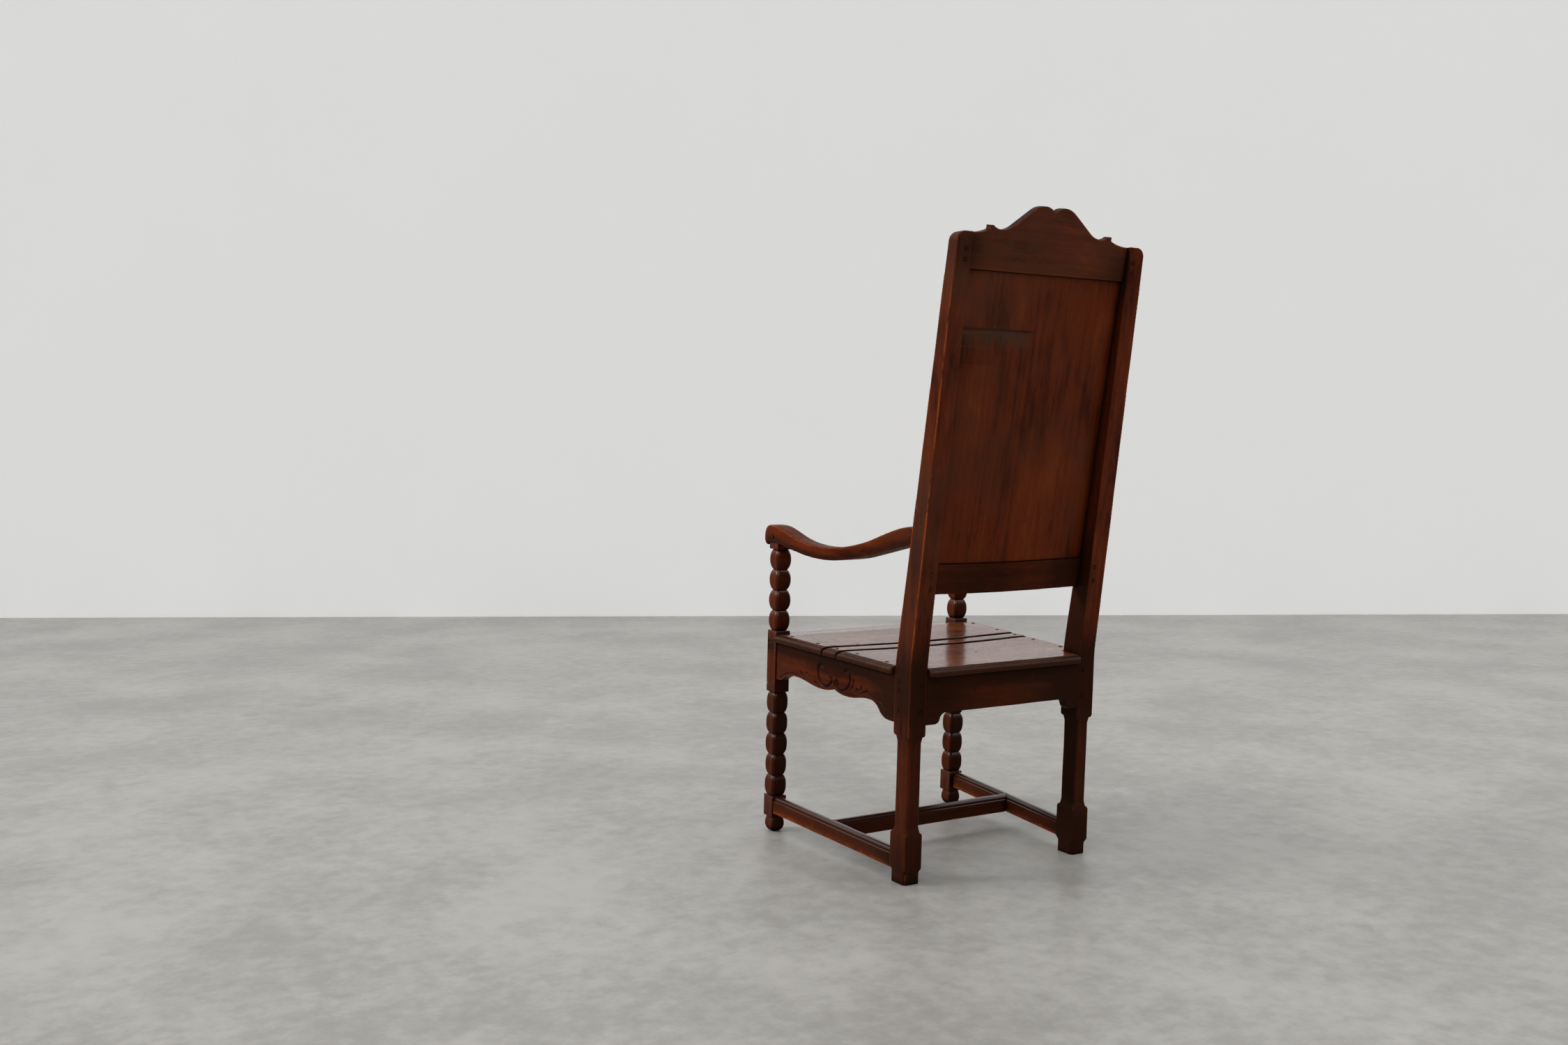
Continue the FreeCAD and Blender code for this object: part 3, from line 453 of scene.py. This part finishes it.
def height_share(points):
    """How far up the thickness of a long piece each point lies, from 0 to 1."""
    strips = ((points[:, 1] - points[:, 1].min()) / 0.010).astype(int)
    low, high = np.full(strips.max() + 1, np.inf), np.full(strips.max() + 1, -np.inf)
    np.minimum.at(low, strips, points[:, 2])
    np.maximum.at(high, strips, points[:, 2])
    return (points[:, 2] - low[strips]) / np.maximum(high - low, 0.001)[strips]


def seat_darkening(bench, normals):
    """The seat darker round its moulded edge, and old dirt along the seams."""
    height = bench[:, 2]
    half = SIDE_FRONT + 0.012 - (bench[:, 1] - LEG_REAR) * math.tan(SIDE_ANGLE)
    from_side = half - np.abs(bench[:, 0])
    from_rear = 0.010 - bench[:, 1]
    dirt_and_shade = 1 - step(np.minimum(from_side, from_rear), 0.010, 0.016)
    upright = 1 - step(normals[:, 2], 0.6, 0.9)
    dirt_and_shade *= 1 - 0.30 * step(height, SEAT_LOW + 0.005, SEAT_LOW + 0.010) * upright
    for seam in SEAMS:
        dirt_and_shade += np.exp(-((bench[:, 1] - seam) / 0.0035) ** 2)
    return np.clip(dirt_and_shade, 0, 1)


def dirt_and_shade_at(points, bench, own, normals, node):
    """How dark each point is, with old dirt and with painted shade where less light falls."""
    if node.startswith("seat_board"):
        return seat_darkening(bench, normals)
    height, up = bench[:, 2], normals[:, 2]
    # Darker towards the bottom; faces turned to the rear also get painted shade
    dirt_and_shade = (0.45 + 0.12 * step(normals[:, 1], 0.5, 0.9)) * (1 - step(height, 0.25, 0.85))
    # Painted shade in a band just under the seat
    dirt_and_shade += 0.75 * step(height, 0.380, 0.412) * (1 - step(height, 0.4165, 0.4185))
    if node.endswith("_arm"):
        # Painted shade on the lower half of an arm; its level top is a little darker
        dirt_and_shade += (0.65 * (1 - step(height_share(bench), 0.20, 0.75))
                 + 0.35 * step(up, 0.82, 0.97))
    if node.endswith("_seat_rail"):
        dirt_and_shade += 0.12
    if node in ("left_seat_rail", "right_seat_rail"):
        # Painted shade in the cuts of the carving
        sunk = np.abs(own[:, 0])
        dirt_and_shade += 0.8 * step(sunk, 0.0007, 0.0022) * (sunk < 0.004)
    if node == "lower_back_rail":
        dirt_and_shade += 0.35
    if node.endswith("_rear_post"):
        # Painted shade on the inner faces of the rear posts
        dirt_and_shade += 0.5 * step(-normals[:, 0] * np.sign(points[:, 0]), 0.5, 0.9)
    if node.endswith("_stretcher"):
        # Stretchers darker, most on their tops, with painted shade in the quirk under the bead
        dirt_and_shade += 0.12 + 0.20 * step(up, 0.3, 0.7)
        dirt_and_shade += 0.6 * np.exp(-((height - STRETCHER_BEAD - 0.0015) / 0.0018) ** 2)
    if node == "crest_rail":
        dirt_and_shade += 0.9 * step(up, 0.35, 0.65)
    if node.endswith("_front_leg"):
        # Painted shade on the front legs' facets that face front and back; the side facets stay
        # lighter
        dirt_and_shade += 0.28 - 0.20 * step(np.abs(normals[:, 0]), 0.6, 0.95)
    for spot, reach, strength in SOIL:
        dirt_and_shade += strength * np.exp(-((points - np.array(spot)) ** 2).sum(1) / reach ** 2)
    return np.clip(dirt_and_shade, 0, 1)


def bare_and_sheen_at(back, normals, node):
    """Where the wood is bare and grey: the panel's upper back, the crest rail's back, and the
    head of the left post; in the panel's hollow under its lip the grey is a painted sheen."""
    x, z = back[:, 0], back[:, 2]
    rear = step(normals[:, 1], 0.0, 0.5)
    if node == "back_panel":
        # Painted sheen: the grey band in the hollow under the lip, where the cut's floor faces
        # up to the light
        hollow = (step(z, 0.610, 0.664) * (1 - step(z, HOLLOW_LIP, 0.6690))
                  * step(x, 0.000, 0.020))
        return rear * np.maximum(hollow, 0.45 * step(z, 0.45, 0.75) * step(x, -0.15, 0.20))
    if node == "crest_rail":
        return 0.45 * rear
    if node == "left_rear_post":
        return 0.60 * step(z, 0.66, 0.80)
    return np.zeros(len(back))


def gleam_at(normals, node):
    """Extra shine on the tops of beads and stretchers, and a little less on the arms."""
    up = normals[:, 2]
    gleam = step(up, 0.12, 0.45) * node.endswith("_front_leg") - 0.15 * node.endswith("_arm")
    return gleam + 1.3 * step(up, 0.30, 0.62) * node.endswith("_stretcher")


def rub_at(points, back, normals, node, rubbed):
    """Where use has rubbed the wood bright; below zero the arrises have kept their colour."""
    peg_clear = 0.0085
    rub = rubbed(points, normals) if rubbed else np.zeros(len(points))
    nearest = np.full(len(points), 1.0)
    for end in PEG_ENDS:
        nearest = np.minimum(nearest, np.linalg.norm(points - end, axis=1))
    across, up = np.abs(back[:, 0]), back[:, 2]
    if node.endswith(("_front_leg", "_seat_rail")) or node == "lower_back_rail":
        rub -= 0.6
    if node == "crest_rail":
        rub[(np.abs(across - EAR_X) < 0.012) | (up < up.min() + 0.030)] = -1.0
    if node.endswith("_rear_post"):
        rub[(across < POST_ARRIS) & (up > 0.03)] = -0.7
    rub[nearest < peg_clear] = -1.0
    return rub


def mark_use(mesh, own_frame, along, node, rubbed):
    """Store each point's place in the grain of its plank, and how it has been used."""
    points, normals = points_of(mesh), normals_of(mesh)
    own, bench, back = (moved(points, base.inverted()) for base in (own_frame, BENCH, BACK))
    dice = np.random.default_rng(seed_of(node))
    mark(mesh, "grain", own[:, list(along)] + dice.uniform(0.5, 4.0, 3))
    mark(mesh, "dirt_and_shade", dirt_and_shade_at(points, bench, own, normals, node))
    mark(mesh, "dry", bare_and_sheen_at(back, normals, node))
    mark(mesh, "gleam", gleam_at(normals, node))
    mark(mesh, "rubbed", rub_at(points, back, normals, node, rubbed))


def upper_side(_points, normals):
    """Hands rub an arm brightest along its two upper edges."""
    return 0.60 * np.exp(-((normals[:, 2] - 0.72) / 0.16) ** 2)


def low_down(points, normals):
    """Feet rub the sides of a stretcher along the bottom and the arris under its bead."""
    height = moved(points, BENCH.inverted())[:, 2]
    low, high = height.min(), height.max()
    sideways = step(np.abs(normals[:, 0]), 0.4, 0.8)
    bottom = 0.7 * (1 - step(height, low, (low + high) / 2)) * sideways
    return bottom + 0.55 * np.exp(-((height - STRETCHER_BEAD + 0.0007) / 0.0012) ** 2)


def finished(mesh, node, own_frame, along, rubbed=None):
    """Put a mesh in the scene in place of its CAD piece."""
    points = points_of(mesh)
    points[:, 2] = np.maximum(points[:, 2], 0.0)
    put_points(mesh, points)
    mesh.name = node + ".wood"
    mesh.materials.clear()
    mesh.polygons.foreach_set("use_smooth", np.ones(len(mesh.polygons), bool))
    mark_use(mesh, own_frame, along, node, rubbed)
    piece = bpy.data.objects.new(mesh.name, mesh)
    bpy.context.scene.collection.objects.link(piece)
    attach(piece, "root")
    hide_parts(node)
    return piece


def worn(node, own_frame, along, voxel, rounds, shape=None, keep=0.08, uneven=0.0002,
         rubbed=None):
    """A used copy of a CAD piece: arrises worn round, faces slightly uneven, then its own
    shaping, then thinned to the share of its faces to keep."""
    plank = welded(nodes[node].data)
    plank.transform(own_frame.inverted())
    mesh = with_modifier(plank, "REMESH", mode="VOXEL", voxel_size=voxel, adaptivity=0.0)
    ease(mesh, rounds)
    points = points_of(mesh)
    lift = uneven * (ripple(points, 0.09, seed_of(node)) - 1)
    put_points(mesh, points + normals_of(mesh) * lift[:, None])
    if shape:
        shape(mesh)
    mesh = with_modifier(mesh, "DECIMATE", ratio=keep)
    if shape is seat_wear:
        settle(mesh)
    mesh.transform(own_frame)
    return finished(mesh, node, own_frame, along, rubbed)


# Finishes

class Value:
    """A number socket that takes part in plain arithmetic."""

    def __init__(self, finish, socket):
        self.finish, self.socket = finish, socket

    def math(self, operation, *terms):
        made = self.finish.node("ShaderNodeMath", {"operation": operation},
                                dict(enumerate(terms)))
        return made["Value"]

    def __add__(self, other):
        return self.math("ADD", self, other)

    def __radd__(self, other):
        return self.math("ADD", other, self)

    def __sub__(self, other):
        return self.math("SUBTRACT", self, other)

    def __rsub__(self, other):
        return self.math("SUBTRACT", other, self)

    def __mul__(self, other):
        return self.math("MULTIPLY", self, other)

    def __rmul__(self, other):
        return self.math("MULTIPLY", other, self)

    def span(self, low, high, first=0.0, last=1.0):
        """Ease from first to last as the value goes from low to high."""
        made = self.finish.node("ShaderNodeMapRange", {"interpolation_type": "SMOOTHSTEP"}, {
            "Value": self, "From Min": low, "From Max": high, "To Min": first, "To Max": last})
        return made["Result"]


class Finish:
    """One material, or the world's air, and the nodes that make it."""

    def __init__(self, name, holder=None, surface="Principled BSDF"):
        self.holder = holder or bpy.data.materials.new(name)
        self.holder.use_nodes = True
        self.tree = self.holder.node_tree
        self.surface = self.tree.nodes[surface]

    def node(self, kind, settings=None, sockets=None):
        """Add a node, set it up, feed its sockets, and give its outputs by name."""
        made = self.tree.nodes.new(kind)
        for name, value in (settings or {}).items():
            setattr(made, name, value)
        for key, value in (sockets or {}).items():
            self.feed(made.inputs[key], value)
        return {out.name: Value(self, out) for out in made.outputs if out.enabled}

    def feed(self, socket, value):
        """Link a socket, or set the value that it holds."""
        if isinstance(value, Value):
            self.tree.links.new(value.socket, socket)
        elif socket.type == "RGBA" and len(value) == 3:
            socket.default_value = (*value, 1.0)
        else:
            socket.default_value = value

    def set(self, **inputs):
        """Feed inputs of the surface itself."""
        for name, value in inputs.items():
            self.feed(self.surface.inputs[name.replace("_", " ")], value)

    def mix(self, share, first, second):
        """Go from the first colour to the second by a share."""
        made = self.node("ShaderNodeMix", {"data_type": "RGBA"},
                         {0: share, 6: first, 7: second})
        return made["Result"]

    def vector(self, operation, *terms):
        made = self.node("ShaderNodeVectorMath", {"operation": operation},
                         dict(enumerate(terms)))
        return made["Vector"]

    def mark(self, name, output="Fac"):
        """What was stored at every point under a name."""
        return self.node("ShaderNodeAttribute", {"attribute_name": name})[output]

    def noise(self, place, scale, detail=3.0, rough=0.5):
        return self.node("ShaderNodeTexNoise", None, {
            "Vector": place, "Scale": scale, "Detail": detail, "Roughness": rough})

    def grain(self, place, stretch, detail, rough=0.5):
        """Noise with its own number of swells to the metre along and across the grain."""
        return self.noise(self.vector("MULTIPLY", place, stretch), 1.0, detail, rough)

    def hidden(self, distance, samples, **settings):
        """How far the neighbourhood shuts a point in, from 0 to 1."""
        made = self.node("ShaderNodeAmbientOcclusion", {"samples": samples, **settings},
                         {"Distance": distance})
        return 1.0 - made["AO"]

    def bump(self, height, strength, distance, under=None):
        sockets = {"Height": height, "Strength": strength, "Distance": distance}
        if under:
            sockets["Normal"] = under
        return self.node("ShaderNodeBump", None, sockets)["Normal"]


# Grey of bare wood, and of the painted sheen in the panel's hollow
BARE_AND_SHEEN_TONE = (0.066, 0.0320, 0.0185)
# Dark of old dirt and of painted shade
STAIN_AND_SHADE_TONE = (0.014, 0.0058, 0.0032)
CORNER_SHADE_TONE = (0.004, 0.0022, 0.0015)
# Near black of the painted shade in corners and joints
DULL_TONE = (0.054, 0.0205, 0.0100)


def waxed_wood(name, dark, middle, light, worn_tone, wear=1.0, corner_shade_strength=1.0, gloss=0.34,
               shine=0.02, polish=0.12, figure=1.0, texture=1.0):
    """Old waxed hardwood: drifting figure, fibres and pores, bright worn arrises, and painted
    shade that goes black in the corners."""
    wood = Finish(name)
    place = wood.mark("grain", "Vector")
    dirt_and_shade, handled, dry, gleam = (wood.mark(use) for use in ("dirt_and_shade", "rubbed", "dry", "gleam"))
    drift = wood.grain(place, (2.0, 7.0, 7.0), 2.0)["Color"]
    bent = wood.vector("ADD", place, wood.vector("MULTIPLY", drift, (0.0, 0.020, 0.020)))
    rings = wood.grain(bent, (1.6, 95.0, 95.0), 2.0, 0.55)["Fac"]
    fibres = wood.grain(bent, (14.0, 620.0, 620.0), 3.0, 0.6)["Fac"]
    pores = wood.grain(bent, (70.0, 1500.0, 1500.0), 1.0)["Fac"].span(0.56, 0.70)
    clouds = wood.grain(place, (5.0, 14.0, 14.0), 4.0, 0.6)["Fac"]
    scuffs = wood.grain(place, (38.0, 90.0, 90.0), 4.0, 0.65)["Fac"]

    tone = ((rings - 0.5) * (0.75 * figure) + (fibres - 0.5) * 0.50 + (clouds - 0.5) * 1.6
            + 0.5)
    colour = wood.mix(tone.span(0.10, 0.52), dark, middle)
    colour = wood.mix(tone.span(0.48, 0.95), colour, light)
    colour = wood.mix(pores * 0.40, colour, dark)
    patina = wood.noise(place, 4.5, 3.0, 0.55)["Fac"].span(0.46, 0.70)
    colour = wood.mix(patina * 0.50, colour, DULL_TONE)

    rim = wood.hidden(0.0040, 6, inside=True, only_local=True)
    arris = rim.span(0.23, 0.38) * handled.span(-1.0, 0.0)
    patches = wood.noise(place, 6.5, 2.0)["Fac"]
    bare = (scuffs + (patches - 0.5) * 1.1).span(0.28, 0.58)
    rubbed = (arris * bare + handled.span(0.0, 1.0) * scuffs.span(0.30, 0.70)) * wear
    colour = wood.mix(rubbed.span(0.0, 1.0), colour, worn_tone)

    # Painted shade: the wood darkens towards black where nearby surfaces close a point in, in
    # corners, necks and joints
    nook = wood.hidden(0.028, 8)
    corners = nook.span(0.17, 0.52) * clouds.span(0.25, 0.75, 0.65, 1.0) * corner_shade_strength
    # Bare grey wood, and the painted sheen in the panel's hollow
    colour = wood.mix(dry * scuffs.span(0.20, 0.60), colour, BARE_AND_SHEEN_TONE)
    # Old dirt and painted shade from the stored marks, with random blotches
    stain_and_shade = dirt_and_shade * 1.4 + (clouds - 0.5) * 1.3 + (scuffs - 0.5) * 0.6 - 0.32
    colour = wood.mix(stain_and_shade.span(0.0, 1.0) * 0.85, colour, STAIN_AND_SHADE_TONE)
    colour = wood.mix(corners * 0.90, colour, CORNER_SHADE_TONE)

    marks = wood.noise(place, 55.0, 5.0, 0.7)["Fac"]
    rough = (marks.span(0.3, 0.75, gloss - 0.07, gloss + 0.12) + corners * 0.22 + dry * 0.12
             - rubbed * 0.05)
    wax = gleam * 0.7 + polish * (1.0 - dirt_and_shade) * (1.0 - corners)
    dents = wood.noise(place, 26.0, 4.0, 0.6)["Fac"]
    grainy = wood.bump(fibres * 0.6 + pores * -0.8, 0.20 * texture, 0.0004)
    wood.set(Base_Color=colour, Roughness=rough, Specular_IOR_Level=shine, Coat_Weight=wax,
             Coat_Roughness=0.14, Normal=wood.bump(dents, 0.18 * texture, 0.0014, grainy))
    return wood.holder


# Tones in order: dark, middle, light, and where the wood is worn bright
slots = {
    "frame_wood": waxed_wood(
        "old_waxed_frame_wood", (0.030, 0.0045, 0.0014), (0.102, 0.0165, 0.0034),
        (0.176, 0.0320, 0.0063), (0.52, 0.108, 0.018)),
    "panel_wood": waxed_wood(
        "old_panel_board", (0.044, 0.0068, 0.0018), (0.120, 0.0200, 0.0038),
        (0.182, 0.0370, 0.0072), (0.34, 0.090, 0.017), wear=0.4, figure=0.8),
    "seat_wood": waxed_wood(
        "worn_seat_boards", (0.048, 0.0115, 0.0040), (0.145, 0.0380, 0.0125),
        (0.250, 0.0760, 0.0270), (0.36, 0.128, 0.045), wear=0.5, gloss=0.30, shine=0.05,
        polish=0.66, texture=0.04),
    # The pegs take only a quarter of the painted corner shade
    "peg_wood": waxed_wood(
        "riven_pegs", (0.018, 0.0036, 0.0014), (0.054, 0.0105, 0.0030),
        (0.095, 0.021, 0.005), (0.14, 0.045, 0.014), wear=0.3, corner_shade_strength=0.25, gloss=0.38),
    "repair_wood": waxed_wood(
        "let_in_repair", (0.012, 0.0038, 0.0018), (0.038, 0.0105, 0.0042),
        (0.072, 0.0210, 0.0080), (0.20, 0.065, 0.020), gloss=0.38),
}


def dress(piece, slot):
    """Give a piece its wood."""
    piece.data.materials.append(slots[slot])


# Pieces

for side, own, outward in (("left", LEFT_SIDE, 1), ("right", RIGHT_SIDE, -1)):
    split = split_post if side == "left" else None
    for piece in (
            worn(f"{side}_rear_post", BENCH, ALONG_Z, 0.0011, 3, split, keep=0.06),
            beaded_leg(side, mirror=outward < 0),
            worn(f"{side}_arm", BENCH, ALONG_Y, 0.0017, 3, soften_upward, keep=0.30,
                 rubbed=upper_side),
            worn(f"{side}_seat_rail", own, ALONG_Y, 0.0009, 2, carve_rail(outward), keep=0.16),
            worn(f"{side}_side_stretcher", own, ALONG_Y, 0.0010, 3, rubbed=low_down)):
        dress(piece, "frame_wood")
for piece in (worn("crest_rail", BACK, ALONG_X, 0.0009, 3, keep=0.07),
              worn("lower_back_rail", BACK, ALONG_X, 0.0011, 3, keep=0.06),
              worn("front_seat_rail", BENCH, ALONG_X, 0.0012, 3, keep=0.06),
              worn("rear_seat_rail", BENCH, ALONG_X, 0.0012, 3, keep=0.06),
              worn("cross_stretcher", BENCH, ALONG_X, 0.0010, 3)):
    dress(piece, "frame_wood")
dress(worn("back_panel", BACK, ALONG_Z, 0.0014, 1, hollow_back, keep=0.045), "panel_wood")
for board in ("front", "middle", "rear"):
    dress(worn(f"seat_board_{board}", BENCH, ALONG_X, 0.0010, 2, seat_wear, keep=0.045),
          "seat_wood")
dress(worn("left_rear_foot_patch", BENCH, ALONG_Z, 0.0008, 3, keep=0.2), "repair_wood")
for group, own, along in (("crest_pegs", BACK, ALONG_Y),
                          ("lower_back_rail_pegs", BACK, ALONG_Y),
                          ("rear_seat_rail_pegs", BENCH, ALONG_Y),
                          ("side_seat_rail_pegs", BENCH, ALONG_X),
                          ("front_seat_rail_pegs", BENCH, ALONG_Y),
                          ("arm_pegs", BENCH, ALONG_X),
                          ("seat_pegs", BENCH, ALONG_Z)):
    dress(worn(group, own, along, 0.0006, 3, uneven=0.0), "peg_wood")


# Studio

def pale_stage(name, corners, colour, drift, glow=0.0):
    """A flat plain surface with a little tone drift, for the floor and the wall."""
    mesh = bpy.data.meshes.new(name)
    mesh.from_pydata(corners, [], [(0, 1, 2, 3)])
    sheet = bpy.data.objects.new(name, mesh)
    bpy.context.scene.collection.objects.link(sheet)
    paint = Finish(name)
    place = paint.node("ShaderNodeTexCoord")["Object"]
    cloud = paint.noise(place, 1.7, 8.0, 0.66)["Fac"]
    speck = paint.noise(place, 22.0, 5.0, 0.70)["Fac"]
    tone = ((cloud - 0.5) * 0.6 + (speck - 0.5) * 0.4) * drift + 0.5
    paler = [min(1.0, c * 1.18) for c in colour]
    deeper = [c * 0.82 for c in colour]
    paint.set(Base_Color=paint.mix(tone.span(0.2, 0.8), deeper, paler), Roughness=0.42,
              Specular_IOR_Level=0.5)
    if glow:
        rays = paint.node("ShaderNodeLightPath")
        seen = rays["Is Camera Ray"] + rays["Is Glossy Ray"] + rays["Is Transmission Ray"]
        paint.set(Emission_Color=paint.mix(seen, (0.0, 0.0, 0.0), colour),
                  Emission_Strength=glow)
    mesh.materials.append(paint.holder)


def soft_sun(name, toward, width, strength):
    """Broad light from one side, with soft shadows."""
    lamp = bpy.data.objects.new(name, bpy.data.lights.new(name, "SUN"))
    lamp.data.angle = width
    lamp.data.energy = strength
    lamp.rotation_euler = Vector(toward).to_track_quat("-Z", "Y").to_euler()
    bpy.context.scene.collection.objects.link(lamp)


# The camera's place and turn, fitted to the photo
CAMERA_SPOT = Vector((1.8422, 2.2628 + BENCH_SHIFT, 0.8569))
YAW, PITCH, ROLL = math.radians(149.613), math.radians(2.811), math.radians(0.139)
FILM_WIDTH = 36.0
FOCAL_PIXELS, FRAME_PIXELS = 2031.88, 2250
WALL_AWAY = 7.42
FLOOR_HALF = 14

ahead = Vector((-math.sin(YAW), math.cos(YAW), 0))
level = Vector((math.cos(YAW), math.sin(YAW), 0))
forward = Vector((-math.sin(YAW) * math.cos(PITCH), math.cos(YAW) * math.cos(PITCH),
                  -math.sin(PITCH)))
upward = level.cross(forward)
right = level * math.cos(ROLL) + upward * math.sin(ROLL)
upward = upward * math.cos(ROLL) - level * math.sin(ROLL)

camera = bpy.data.objects.new("camera", bpy.data.cameras.new("camera"))
camera.data.sensor_width = FILM_WIDTH
camera.data.lens = FILM_WIDTH * FOCAL_PIXELS / FRAME_PIXELS
camera.data.clip_end = 100.0
axes = Matrix((right, upward, -forward)).transposed().to_4x4()
camera.matrix_world = Matrix.Translation(CAMERA_SPOT) @ axes
bpy.context.scene.collection.objects.link(camera)
bpy.context.scene.camera = camera

pale_stage("studio_floor", [(x * FLOOR_HALF, y * FLOOR_HALF, 0)
                            for x, y in ((-1, -1), (1, -1), (1, 1), (-1, 1))],
           (0.318, 0.305, 0.284), 2.4)
wall_foot = Vector((CAMERA_SPOT.x, CAMERA_SPOT.y, 0)) + ahead * WALL_AWAY
wide, tall = level * 6.0 + ahead * 0.254, Vector((0, 0, 4.0))
pale_stage("studio_wall", [wall_foot - wide, wall_foot + wide, wall_foot + wide + tall,
                           wall_foot - wide + tall],
           (0.90, 0.90, 0.897), 0.12, 0.20)
soft_sun("window_light", (-0.78, 0.34, -0.52), math.radians(18), 1.5)

air = Finish("studio_air", bpy.data.worlds.new("studio_air"), "Background")
place = air.node("ShaderNodeTexCoord")["Generated"]
rise = air.node("ShaderNodeSeparateXYZ", None, {"Vector": place})["Z"]
air.set(Color=air.mix(rise.span(0.10, 0.75), (0.35, 0.35, 0.35), (1.14, 1.15, 1.15)),
        Strength=1.0)
bpy.context.scene.world = air.holder
bpy.context.scene.view_settings.view_transform = "Standard"
